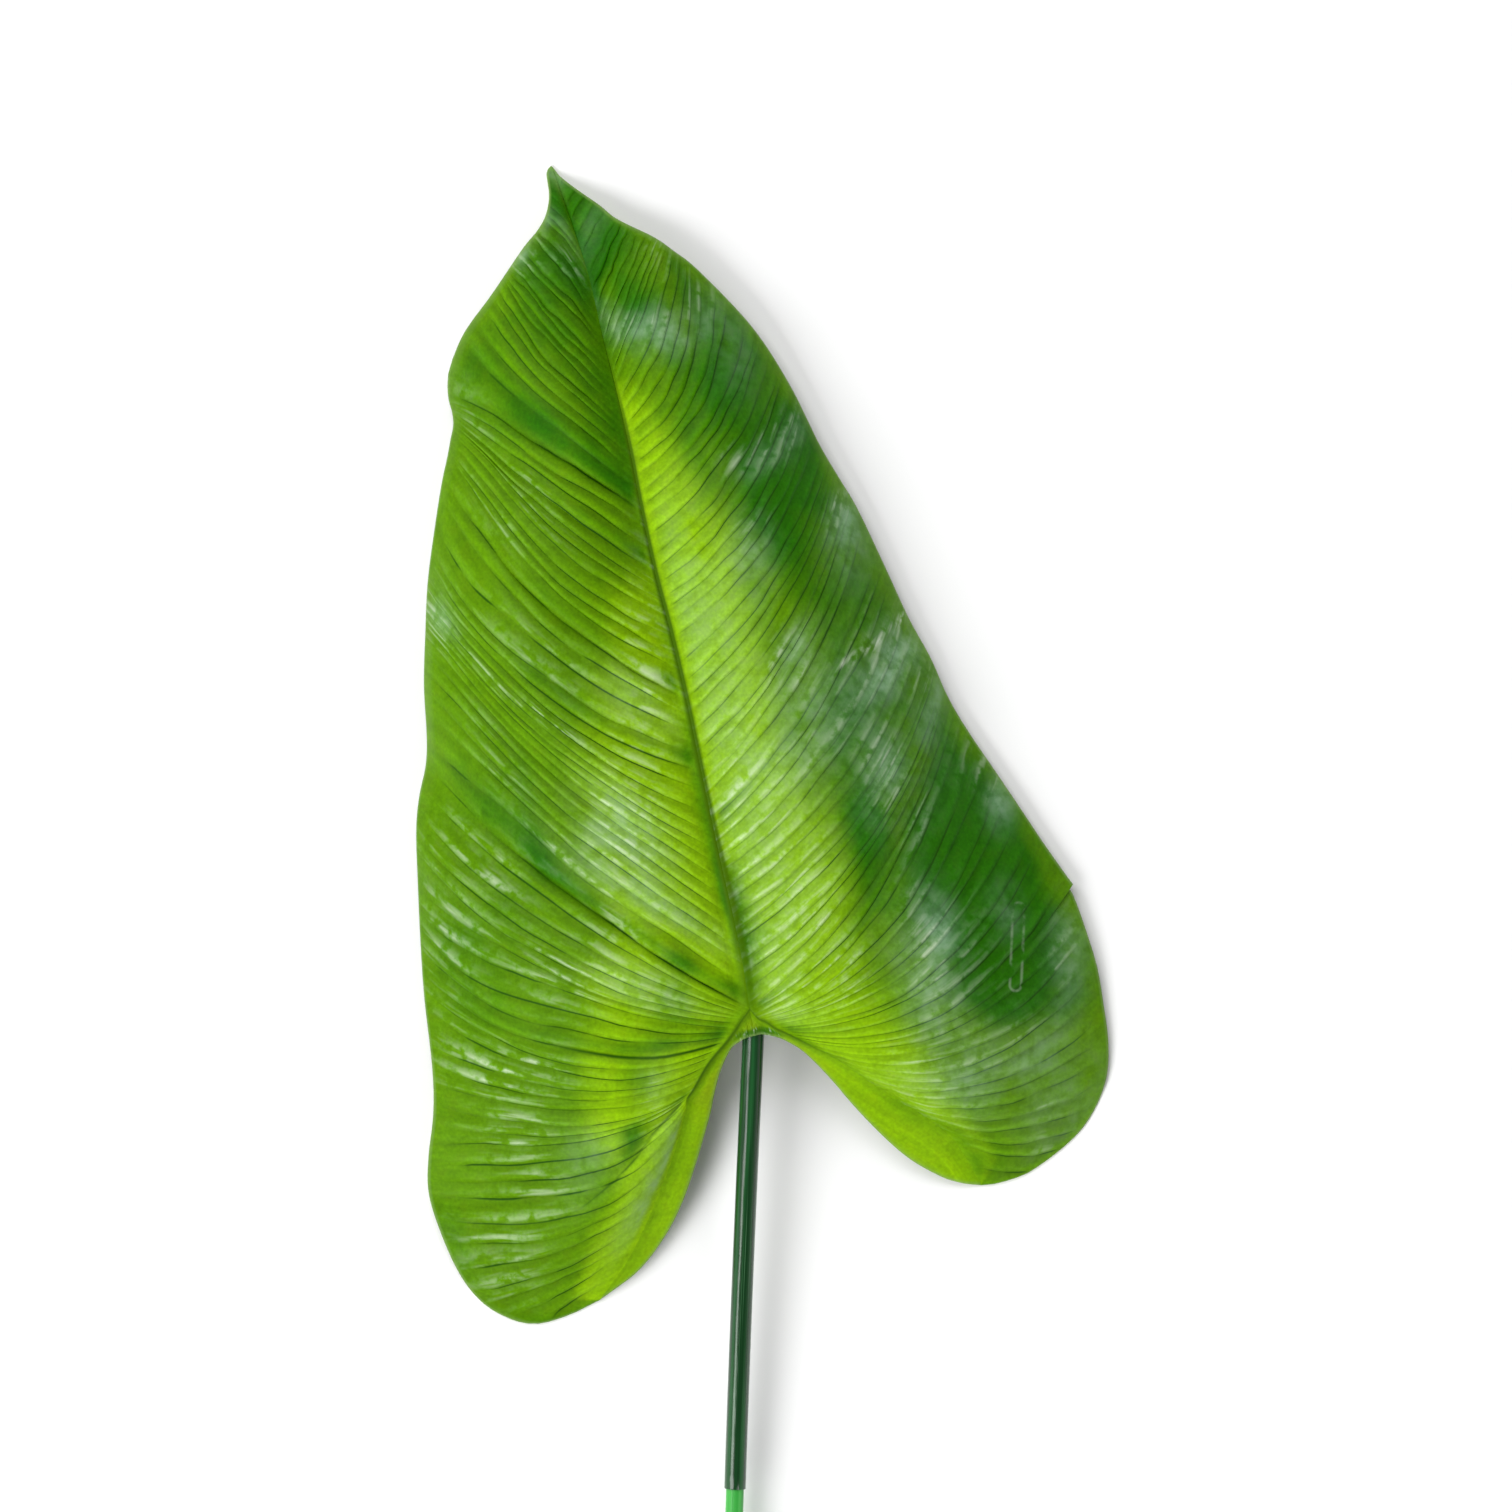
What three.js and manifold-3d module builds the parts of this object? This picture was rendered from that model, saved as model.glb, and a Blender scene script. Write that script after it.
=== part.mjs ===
// An artificial giant taro leaf, laid down with its face up: a glossy embossed blade on a sleeved stem.
// Millimetres, +Z up. +X is to the right of the face, +Y runs from the stem's end to the leaf's tip.
// All places are first given from the junction, the middle of the sinus between the two lobes, where the
// stem meets the blade. The finished leaf is then moved so that its box stands centred over the origin.

import * as THREE from 'three';
import Module from 'manifold-3d';
import { mergeVertices } from 'three/addons/utils/BufferGeometryUtils.js';

const wasm = await Module();
wasm.setup();

// Blade: sheet thickness, measured upright, and the relief of its ribs and pleats. A pleat has its whole
// height where it spans PLEAT_FULL_WIDTH veins or more.
const SHEET_THICKNESS = 1.0;
const RIB_HEIGHT = 1.3;
const RIB_HALF_WIDTH = 2.2;
const RIB_TAPER = 0.7;
const RIB_FURROW = 0.7;
const RIB_FURROW_AT = 6;
const BACK_RIB_DEPTH = 3.2;
const BACK_RIB_HALF_WIDTH = 3.1;
const PLEAT_HEIGHT = 1.7;
const PLEAT_FULL_WIDTH = 9;
const PLEAT_ROUNDNESS = 0.8;
const COLUMNS = 9;
const SINUS_COLUMNS = 2;

// How much further the blade arches over the surface than the heights of its stations.
const ARCH = 1.25;

// Stem: a dark sleeve over a brighter tube over a steel wire, each clear of the next by STEM_GAP.
const SLEEVE_RADIUS = 4.1;
const TUBE_RADIUS = 3.4;
const WIRE_RADIUS = 1.25;
const STEM_GAP = 0.3;
const STEM_SIDES = 12;
const SLEEVE_END_Y = -173;
const STEM_END_Y = -400;
const STEM_TOP_Y = 19;
const STEM_STEP = 12;
const WIRE_SETBACK = 1.5;

// Socket: the boss at the blade's back that the stem is pushed into.
const SOCKET_RADIUS = 5.4;
const SOCKET_NOSE_RADIUS = 3.2;
const SOCKET_MOUTH_Y = 1.5;
const SOCKET_BARREL_Y = 16;
const SOCKET_NOSE_Y = 28;
const SOCKET_END_Y = 30;
const SOCKET_SIDES = 20;
const BORE_START_Y = -2.5;
const BORE_END_Y = 20.5;

// Height of the stem's axis under the junction, and where its flat lowest side meets the surface.
const STEM_AXIS_AT_JUNCTION = 28;
const STEM_AXIS_AT_END = TUBE_RADIUS * Math.cos(Math.PI / STEM_SIDES);

// The blade's veins are numbered from the tip. Vein 63 springs from the foot of the midrib, and the later
// ones from the two lobe ribs, which the halves end on. A station is [vein, x, y, z]: the point where a
// line crosses that vein, on the blade's face.
const MIDRIB_FOOT = 63;

const MIDRIB = [
  [0, -78.5, 331.5, 0.4], [4, -71, 312.5, 5], [8, -63.5, 289.5, 10.5], [12, -58, 266, 15],
  [17, -52.5, 244.5, 19.5], [22, -47.5, 222.5, 23], [26.5, -43.5, 201.5, 25.5], [31, -38, 176, 27.5],
  [36, -32, 153, 29.5], [40, -26, 127.5, 30.5], [44, -21.5, 106, 31], [48, -16.5, 82.5, 31.5],
  [52, -12.5, 64, 31.5], [56, -8, 44.5, 31], [60, -4.5, 26.5, 30], [63, -2, 10.5, 29],
];

// Each half: its lobe rib, the middles of its veins, its margin and the sinus margin inside its rib, then
// the primary veins, which the pleats lie between.
const LEFT_HALF = {
  turn: -1,
  lastVein: 101,
  lobeRib: [
    [63, -2, 10.5, 29], [69, -5.5, 5.5, 28.5], [72, -7.5, 2, 28], [75, -10.5, -2, 27],
    [79, -17.5, -10.5, 25], [83, -23, -20, 23], [87, -25.5, -24, 22], [90, -26.5, -29.5, 21],
    [93, -32, -48.5, 16.5], [95, -38, -64, 12.5], [97, -43.5, -76.5, 9], [99, -50.5, -89.5, 5],
    [101, -59.5, -102, 1.2],
  ],
  middle: [
    [0, -78.5, 331.5, 0.4], [4, -74.5, 317.5, 5], [8, -72, 302, 11], [12, -74, 285.5, 17.5],
    [16.5, -77.5, 264.5, 23], [20, -80, 250.5, 26], [23.5, -80.5, 237.5, 28], [26.5, -79.5, 223.5, 29],
    [31, -77.5, 202.5, 32.5], [36, -78.5, 182, 36], [40, -79.5, 162.5, 37.5], [45.5, -80, 130, 38.5],
    [50, -77, 113.5, 38.5], [54, -76.5, 101, 38.5], [57, -75, 88.5, 39], [60, -74, 75, 39],
    [63, -67.5, 51.5, 37.5], [69, -75.5, 26, 37], [71.5, -73.5, 17, 36], [75, -73.5, -4, 33],
    [79, -68.5, -19, 29.5], [83, -65.5, -32.5, 26.5], [87, -62.5, -43.5, 24.5], [90, -61, -59.5, 22],
    [92.5, -65, -72, 18.5], [95, -69, -84.5, 13.5], [97, -70.5, -93.5, 8], [99, -71.5, -101.5, 3.6],
    [101, -59.5, -102, 1.2],
  ],
  margin: [
    [0, -78.5, 331.5, 0.4], [2, -78.5, 327, 2], [4, -78.5, 321, 4], [6, -79, 315.5, 6],
    [8, -80.5, 310.5, 7.5], [10, -83.5, 305.5, 9], [12, -88, 300, 10], [16.5, -100.5, 281.5, 11],
    [20, -110, 268.5, 10.5], [22, -114, 260.5, 9.5], [24, -117, 251.5, 8], [26, -117, 243, 6.5],
    [28.5, -115.5, 237, 7], [31, -115, 232, 9.5], [34, -116, 226, 12.5], [37, -117, 220, 14.5],
    [40, -119, 210.5, 15.5], [44, -121.5, 195, 15], [48, -124.5, 173, 13], [52, -125.5, 153, 12.5],
    [56, -126, 133, 13], [60, -125, 113, 11.5], [63, -125.5, 102.5, 9], [66, -128, 90, 10.5],
    [69, -129, 77, 12], [71.5, -128.5, 58, 9.5], [75, -127.5, 34, 7], [78, -126, 13.5, 8.5],
    [81, -123, -12, 11], [84, -122.5, -29.5, 11], [87, -124.5, -47.5, 8.5], [89.5, -124.5, -60.5, 5.5],
    [92, -120.5, -74, 7], [94, -114, -89.5, 3.5], [96, -106.5, -100.5, 0], [97.5, -97, -107.5, -2.8],
    [99, -84.5, -111, -2.8], [100, -72, -108, -1], [101, -59.5, -102, 1.2],
  ],
  sinus: [
    [63, 0, 0, 27], [69, -3.5, -1, 26.5], [72, -6, -2.5, 26], [75, -9, -5, 25], [79, -13, -13.5, 22],
    [83, -15.5, -23, 19], [87, -16.5, -28, 18], [90, -18, -34, 17], [93, -23, -51, 12.5],
    [95, -28, -65, 9.5], [97, -34.5, -77.5, 6.5], [99, -44.5, -90.5, 3.6], [101, -59.5, -102, 1.2],
  ],
  primaries: [0, 9, 18, 27, 31, 40, 46, 54, 63, 69, 75, 83, 90, 96, 101],
};

const RIGHT_HALF = {
  turn: 1,
  lastVein: 92,
  lobeRib: [
    [63, -2, 10.5, 29], [66, 1, 7, 28.8], [69, 4, 5.5, 28.4], [72, 7.5, 3, 28], [75, 12, 1, 27.5],
    [77, 16, -1, 27], [79, 21.5, -4, 26], [81, 31, -9, 24], [83.5, 42, -16.5, 20.5],
    [86, 55.5, -25.5, 15.5], [88, 67.5, -33, 10.5], [90, 77, -42, 5.5], [92, 86.5, -58, 0.8],
  ],
  middle: [
    [0, -78.5, 331.5, 0.4], [4, -69, 317.5, 5], [8, -58, 301, 11], [12, -48.5, 285.5, 16.5],
    [17, -38.5, 272.5, 22], [22, -25.5, 249, 26], [26.5, -15, 228.5, 29], [31, -5.5, 206.5, 31],
    [36, 4, 185, 33], [40, 10.5, 165.5, 34], [44, 16.5, 148, 34.5], [48, 23, 126, 35],
    [52, 31.5, 105.5, 35], [56, 40, 88.5, 35], [60, 45, 73, 34.5], [63, 46.5, 56.5, 34],
    [67, 55, 38, 33], [71, 65, 27.5, 31.5], [75, 72, 9.5, 29.5], [77, 74.5, 2.5, 28.5],
    [80, 80, -9.5, 25], [83.5, 86.5, -22, 20], [86, 93, -31.5, 15], [88, 97, -39, 10],
    [90, 97.5, -47.5, 5], [92, 86.5, -58, 0.8],
  ],
  margin: [
    [0, -78.5, 331.5, 0.4], [2, -74, 326, 2.5], [4, -67.5, 320.5, 4.5], [6, -60, 316, 6.5],
    [8, -53, 311, 8], [12, -39, 304, 9.5], [17, -31, 298.5, 10], [22, -21, 290.5, 10],
    [26, -1.5, 270, 9.5], [31, 13, 248, 8.5], [36, 24.5, 225, 8], [40, 31.5, 213, 7.5],
    [44, 39, 200.5, 7], [48, 49.5, 178.5, 6.5], [52, 58.5, 159, 6], [56, 67, 143.5, 5.5],
    [60, 72.5, 131, 5], [63, 77, 122.5, 5], [65, 83, 113, 5], [67, 90.5, 102, 5], [71, 102, 85, 5],
    [73, 110, 73, 4.8], [75, 119.5, 59.5, 4.6], [77, 124.5, 45, 4.2], [80, 130.5, 26, 3.5],
    [82, 133, 12, 3], [84, 135, -4, 2.4], [86, 134, -18, 1.4], [88, 128, -32, -0.6],
    [89.5, 119.5, -42, -2.6], [91, 104.5, -53, -1.8], [92, 86.5, -58, 0.8],
  ],
  sinus: [
    [63, 0, 0, 27], [66, 2.5, 0.5, 26.8], [69, 5.5, 0, 26.4], [72, 9.5, -1, 26], [75, 13.5, -3, 25],
    [77, 17.5, -5.5, 24], [79, 22.5, -10, 22], [81, 29.5, -17.5, 19], [83.5, 38, -27.5, 15],
    [86, 49, -39, 10.5], [88, 59.5, -48, 7], [90, 72, -55, 3.4], [92, 86.5, -58, 0.8],
  ],
  primaries: [0, 10, 22, 31, 37, 44, 57, 63, 70, 77, 84, 88, 92],
};

// A line's point at a vein, on a smooth curve through its stations.
function lineAt(stations, vein) {
  const last = stations.length - 1;
  let i = 0;
  while (i < last - 1 && vein > stations[i + 1][0]) {
    i += 1;
  }
  const place = (k) => new THREE.Vector3(stations[k][1], stations[k][2], ARCH * stations[k][3]);
  const slope = (k) => {
    const before = Math.max(k - 1, 0);
    const after = Math.min(k + 1, last);
    return place(after).sub(place(before)).divideScalar(stations[after][0] - stations[before][0]);
  };
  const span = stations[i + 1][0] - stations[i][0];
  const u = (vein - stations[i][0]) / span;
  return place(i).multiplyScalar(2 * u ** 3 - 3 * u ** 2 + 1)
    .addScaledVector(slope(i), span * (u ** 3 - 2 * u ** 2 + u))
    .addScaledVector(place(i + 1), 3 * u ** 2 - 2 * u ** 3)
    .addScaledVector(slope(i + 1), span * (u ** 3 - u ** 2));
}

const rootAt = (half, vein) => lineAt(vein <= MIDRIB_FOOT ? MIDRIB : half.lobeRib, vein);

// How stout the rib is where a vein springs from it: full at the junction, nothing at either end.
function ribStrength(half, vein) {
  const toTip = vein / MIDRIB_FOOT;
  const toLobe = (half.lastVein - vein) / (half.lastVein - MIDRIB_FOOT);
  return Math.min(1, toTip, toLobe) ** RIB_TAPER;
}

// The rib's round top and the furrow beside it, at a distance from the rib's middle.
function ribRelief(strength, distance) {
  const ridge = RIB_HEIGHT * Math.exp(-((distance / RIB_HALF_WIDTH) ** 2));
  const furrow = RIB_FURROW * Math.exp(-(((distance - RIB_FURROW_AT) / RIB_HALF_WIDTH) ** 2));
  return strength * (ridge - furrow);
}

// The pleats: creased down at each primary vein, full between two of them, flat at the margin.
function pleatRelief(half, vein, share) {
  let k = 0;
  while (k < half.primaries.length - 2 && vein > half.primaries[k + 1]) {
    k += 1;
  }
  const width = half.primaries[k + 1] - half.primaries[k];
  const across = (vein - half.primaries[k]) / width;
  const fullness = Math.max(0, Math.sin(Math.PI * share)) ** PLEAT_ROUNDNESS;
  const height = PLEAT_HEIGHT * Math.min(1, width / PLEAT_FULL_WIDTH);
  return height * fullness * (Math.sin(Math.PI * across) - 0.5);
}

// A point of the blade, at a share of the way along a vein from its rib to the margin.
function bladePoint(half, vein, share) {
  const root = rootAt(half, vein);
  const middle = lineAt(half.middle, vein);
  const edge = lineAt(half.margin, vein);
  const point = root.clone().multiplyScalar((1 - share) * (1 - 2 * share))
    .addScaledVector(middle, 4 * share * (1 - share))
    .addScaledVector(edge, share * (2 * share - 1));
  const distance = Math.hypot(point.x - root.x, point.y - root.y);
  const strength = ribStrength(half, vein);
  point.z += ribRelief(strength, distance) + pleatRelief(half, vein, share);
  return { point, depth: backDepth(strength, distance) };
}

// A point of the strip between a lobe's rib and the sinus.
function sinusPoint(half, vein, share) {
  const root = rootAt(half, vein);
  const point = root.clone().lerp(lineAt(half.sinus, vein), share);
  const distance = Math.hypot(point.x - root.x, point.y - root.y);
  const strength = ribStrength(half, vein);
  const ridge = RIB_HEIGHT * Math.exp(-((distance / RIB_HALF_WIDTH) ** 2));
  point.z += strength * ridge;
  return { point, depth: backDepth(strength, distance) };
}

// How far the back lies under the face: the sheet, and the rib that stands out of the back.
function backDepth(strength, distance) {
  const rib = BACK_RIB_DEPTH * strength * Math.exp(-((distance / BACK_RIB_HALF_WIDTH) ** 2));
  return SHEET_THICKNESS + rib;
}

// The shares of a vein's length where the columns of the blade's faces lie: close together at the rib.
function columnShares(half, vein) {
  const root = rootAt(half, vein);
  const middle = lineAt(half.middle, vein);
  const length = root.distanceTo(middle) + middle.distanceTo(lineAt(half.margin, vein));
  const first = Math.min(RIB_HALF_WIDTH / length, 1 / COLUMNS);
  const second = Math.min(RIB_FURROW_AT / length, 2 / COLUMNS);
  const shares = [0, first, second];
  for (let k = 3; k <= COLUMNS; k += 1) {
    shares.push(second + ((1 - second) * (k - 2)) / (COLUMNS - 2));
  }
  return shares;
}

// An open sheet of triangles, each point with its depth, that is closed by its back and its rim.
class Sheet {
  constructor() {
    this.points = [];
    this.depths = [];
    this.known = new Map();
    this.faces = [];
  }

  // The number of a point, the same for points that meet.
  add({ point, depth }) {
    const key = `${point.x.toFixed(3)} ${point.y.toFixed(3)}`;
    if (!this.known.has(key)) {
      this.known.set(key, this.points.length);
      this.points.push(point);
      this.depths.push(depth);
    }
    return this.known.get(key);
  }

  // A face between three points, left out where two of them meet.
  face(a, b, c) {
    if (a !== b && b !== c && c !== a) {
      this.faces.push([a, b, c]);
    }
  }

  // A band of faces between two rows of points; turn is 1 where the rows run to the right.
  band(upper, lower, turn) {
    for (let k = 0; k + 1 < upper.length; k += 1) {
      const [a, b, c, d] = [upper[k], upper[k + 1], lower[k + 1], lower[k]];
      if (turn > 0) {
        this.face(a, c, b);
        this.face(a, d, c);
      } else {
        this.face(a, b, c);
        this.face(a, c, d);
      }
    }
  }

  // The closed solid: the face, the same triangles turned round for the back, and the rim between.
  solid() {
    const count = this.points.length;
    const rim = new Map();
    const indices = [];
    for (const [a, b, c] of this.faces) {
      indices.push(a, b, c, c + count, b + count, a + count);
      for (const [from, to] of [[a, b], [b, c], [c, a]]) {
        if (!rim.delete(`${to} ${from}`)) {
          rim.set(`${from} ${to}`, [from, to]);
        }
      }
    }
    for (const [from, to] of rim.values()) {
      indices.push(to, from, from + count, to, from + count, to + count);
    }
    // Where the blade would reach below the surface that it lies on, it is bent flat along it.
    const heights = this.points.map((p) => Math.max(p.z, SHEET_THICKNESS));
    const positions = [];
    this.points.forEach((p, i) => positions.push(p.x, p.y, heights[i]));
    this.points.forEach((p, i) => positions.push(p.x, p.y, Math.max(heights[i] - this.depths[i], 0)));
    const geometry = new THREE.BufferGeometry();
    geometry.setAttribute('position', new THREE.Float32BufferAttribute(positions, 3));
    geometry.setIndex(indices);
    return geometry;
  }
}

// The whole blade as one sheet: both halves out to the margin, and both strips along the sinus.
function bladeSheet() {
  const sheet = new Sheet();
  for (const half of [LEFT_HALF, RIGHT_HALF]) {
    let above = null;
    for (let vein = 0; vein <= half.lastVein; vein += 1) {
      const row = columnShares(half, vein).map((share) => sheet.add(bladePoint(half, vein, share)));
      if (above) {
        sheet.band(above, row, half.turn);
      }
      above = row;
    }
    above = null;
    for (let vein = MIDRIB_FOOT; vein <= half.lastVein; vein += 1) {
      const row = [];
      for (let k = 0; k <= SINUS_COLUMNS; k += 1) {
        row.push(sheet.add(sinusPoint(half, vein, k / SINUS_COLUMNS)));
      }
      if (above) {
        sheet.band(above, row, -half.turn);
      }
      above = row;
    }
  }
  return sheet.solid();
}

// A three.js geometry as a solid that can be joined and cut.
function solidOf(geometry) {
  const bare = geometry.clone();
  bare.deleteAttribute('normal');
  bare.deleteAttribute('uv');
  const merged = mergeVertices(bare, 1e-3);
  return new wasm.Manifold(new wasm.Mesh({
    numProp: 3,
    vertProperties: merged.attributes.position.array,
    triVerts: new Uint32Array(merged.index.array),
  }));
}

// A solid back as a three.js geometry.
function geometryOf(solid) {
  const { vertProperties, triVerts } = solid.getMesh();
  const geometry = new THREE.BufferGeometry();
  geometry.setAttribute('position', new THREE.BufferAttribute(vertProperties, 3));
  geometry.setIndex(new THREE.BufferAttribute(triVerts, 1));
  geometry.computeVertexNormals();
  return geometry;
}

// The stem's axis: straight in the socket, then down to the surface in one slight bow.
const STEM_AXIS = new THREE.CatmullRomCurve3([
  new THREE.Vector3(0.4, 24, STEM_AXIS_AT_JUNCTION + 2),
  new THREE.Vector3(-0.6, 0, STEM_AXIS_AT_JUNCTION),
  new THREE.Vector3(-4.4, -85, 20.5),
  new THREE.Vector3(-7.6, SLEEVE_END_Y, 13.6),
  new THREE.Vector3(-10.6, -290, 6.5),
  new THREE.Vector3(-13, STEM_END_Y, STEM_AXIS_AT_END),
]);

// The share of the axis where it passes a given y.
function stemShare(y) {
  let low = 0;
  let high = 1;
  for (let k = 0; k < 40; k += 1) {
    const half = (low + high) / 2;
    if (STEM_AXIS.getPoint(half).y > y) {
      low = half;
    } else {
      high = half;
    }
  }
  return low;
}

// The stretch of the stem's axis between two values of y, as a curve of its own.
function stemStretch(fromY, toY) {
  const from = stemShare(fromY);
  const to = stemShare(toY);
  const steps = Math.round((fromY - toY) / STEM_STEP);
  const points = [];
  for (let k = 0; k <= steps; k += 1) {
    points.push(STEM_AXIS.getPoint(from + ((to - from) * k) / steps));
  }
  return { curve: new THREE.CatmullRomCurve3(points), steps };
}

// A many-sided ring, with a flat side down.
function ringPath(path, radius) {
  const points = [];
  for (let k = 0; k < STEM_SIDES; k += 1) {
    const angle = ((k + 0.5) / STEM_SIDES) * 2 * Math.PI;
    points.push(new THREE.Vector2(radius * Math.cos(angle), radius * Math.sin(angle)));
  }
  return path.setFromPoints(points);
}

// A tube, or a rod where the bore is 0, along a stretch of the stem.
function stemPiece(fromY, toY, radius, bore) {
  const { curve, steps } = stemStretch(fromY, toY);
  const section = ringPath(new THREE.Shape(), radius);
  if (bore > 0) {
    section.holes.push(ringPath(new THREE.Path(), bore));
  }
  return new THREE.ExtrudeGeometry(section, { steps, extrudePath: curve, bevelEnabled: false });
}

// A round body on the socket's axis, from a profile of [radius, y] that starts and ends on the axis.
function onSocketAxis(profile) {
  const points = profile.map(([radius, y]) => new THREE.Vector2(radius, y));
  const geometry = new THREE.LatheGeometry(points, SOCKET_SIDES);
  const mouth = STEM_AXIS.getPoint(stemShare(0));
  const direction = STEM_AXIS.getPoint(stemShare(STEM_TOP_Y)).sub(mouth).normalize();
  const turn = new THREE.Quaternion().setFromUnitVectors(new THREE.Vector3(0, 1, 0), direction);
  return geometry.applyQuaternion(turn).translate(mouth.x, mouth.y, mouth.z);
}

// The blade with the socket joined to its back and bored for the stem.
function bladeWithSocket() {
  const boss = onSocketAxis([
    [0, SOCKET_MOUTH_Y], [SOCKET_RADIUS, SOCKET_MOUTH_Y], [SOCKET_RADIUS, SOCKET_BARREL_Y],
    [SOCKET_NOSE_RADIUS, SOCKET_NOSE_Y], [0, SOCKET_END_Y],
  ]);
  const boreRadius = SLEEVE_RADIUS + STEM_GAP;
  const bore = onSocketAxis([
    [0, BORE_START_Y], [boreRadius, BORE_START_Y], [boreRadius, BORE_END_Y], [0, BORE_END_Y],
  ]);
  return geometryOf(solidOf(bladeSheet()).add(solidOf(boss)).subtract(solidOf(bore)));
}

function piece(name, geometry, color, roughness, metalness) {
  const mesh = new THREE.Mesh(geometry, new THREE.MeshStandardMaterial({ color, roughness, metalness }));
  mesh.name = name;
  return mesh;
}

const sleeve = stemPiece(STEM_TOP_Y, SLEEVE_END_Y, SLEEVE_RADIUS, TUBE_RADIUS + STEM_GAP);
const tube = stemPiece(STEM_TOP_Y, STEM_END_Y, TUBE_RADIUS, WIRE_RADIUS + STEM_GAP);
const wire = stemPiece(STEM_TOP_Y - WIRE_SETBACK, STEM_END_Y, WIRE_RADIUS, 0);

const leaf = new THREE.Group();
leaf.add(
  piece('leaf_blade', bladeWithSocket(), '#5f9a12', 0.35, 0),
  piece('upper_stem', sleeve, '#1f4d26', 0.3, 0),
  piece('lower_stem', tube, '#58b85c', 0.4, 0),
  piece('stem_wire', wire, '#8b8f92', 0.4, 0.9),
);

const box = new THREE.Box3().setFromObject(leaf);
const centre = box.getCenter(new THREE.Vector3());
leaf.position.set(-centre.x, -centre.y, -box.min.z);

export default leaf;
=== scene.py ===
"""An artificial giant taro leaf, lying face up in a plain studio.

The blade is a moulded vinyl sheet, airbrushed from lime at its ribs to deep green at its margin. Its stem is
a dark sleeve over a bright tube over a steel wire. Sizes are in millimetres from the junction, where stem and
blade meet, and are turned to the frame's metres when a mesh is placed.
"""

import logging
import math
from collections.abc import Callable, Iterable, Mapping, Sequence
from dataclasses import dataclass
from enum import Enum
from functools import partial

import bmesh
import bpy
from mathutils import Matrix, Vector, noise


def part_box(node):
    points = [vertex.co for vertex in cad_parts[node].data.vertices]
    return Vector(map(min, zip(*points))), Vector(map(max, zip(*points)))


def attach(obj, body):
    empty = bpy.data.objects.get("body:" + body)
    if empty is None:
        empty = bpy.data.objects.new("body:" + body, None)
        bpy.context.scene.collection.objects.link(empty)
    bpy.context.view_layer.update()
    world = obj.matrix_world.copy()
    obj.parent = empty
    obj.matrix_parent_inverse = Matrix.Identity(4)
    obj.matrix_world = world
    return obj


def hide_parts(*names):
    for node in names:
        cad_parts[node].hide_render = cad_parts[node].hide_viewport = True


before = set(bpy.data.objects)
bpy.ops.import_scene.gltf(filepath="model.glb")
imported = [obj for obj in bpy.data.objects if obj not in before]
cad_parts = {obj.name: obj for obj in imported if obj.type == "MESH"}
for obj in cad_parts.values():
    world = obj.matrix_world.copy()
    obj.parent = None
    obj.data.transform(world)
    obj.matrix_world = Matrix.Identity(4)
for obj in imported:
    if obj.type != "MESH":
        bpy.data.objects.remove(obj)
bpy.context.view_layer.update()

LOG = logging.getLogger("taro_leaf")

MM = 0.001

# How far the right margin and the tip reach from the junction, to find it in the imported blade's box.
RIGHT_MARGIN_X = 135.0
TIP_Y = 331.5

# The vein that ends at the junction. Those before it leave the midrib, and those after it leave a lobe's rib.
MIDRIB_FOOT = 63.0

# How many times higher the blade arches than its stations say.
ARCH = 1.25

# The paints of the blade's face, which its mesh carries as attributes. cloud and bloom
# are painted light, and crest, furrow and deep also lay painted shade.
PAINTS = ("lime", "deep", "cloud", "bloom", "furrow", "crest", "rib", "rim", "strip")

Paint = dict[str, float | Vector]


class Side(Enum):
    """The two halves of the blade, by the way their veins run from the midrib."""

    LEFT = -1
    RIGHT = 1


def junction() -> Vector:
    """Where the stem meets the blade, in the frame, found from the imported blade's box."""
    low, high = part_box("leaf_blade")
    return Vector((high.x - RIGHT_MARGIN_X * MM, high.y - TIP_Y * MM, low.z))


def smooth(value: float, low: float, high: float) -> float:
    """An eased step from 0 at low to 1 at high."""
    t = min(max((value - low) / (high - low), 0.0), 1.0)
    return t * t * (3.0 - 2.0 * t)


def bell(distance: float, half_width: float) -> float:
    """A round bump, 1 in its middle and nearly nothing two half widths away."""
    return math.exp(-((distance / half_width) ** 2))


def flat_distance(first: Vector, second: Vector) -> float:
    """The distance between two points, seen from above."""
    return math.hypot(first.x - second.x, first.y - second.y)


@dataclass(frozen=True)
class Span:
    """A range over which something rises from 0 to 1, and one over which it falls to 0 again."""

    low: float
    high: float
    fall_low: float = math.inf
    fall_high: float = math.inf

    def at(self, value: float) -> float:
        """How far it has risen, and not fallen yet, at a value."""
        rise = smooth(value, self.low, self.high)
        if math.isinf(self.fall_low):
            return rise
        return rise * (1 - smooth(value, self.fall_low, self.fall_high))


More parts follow.
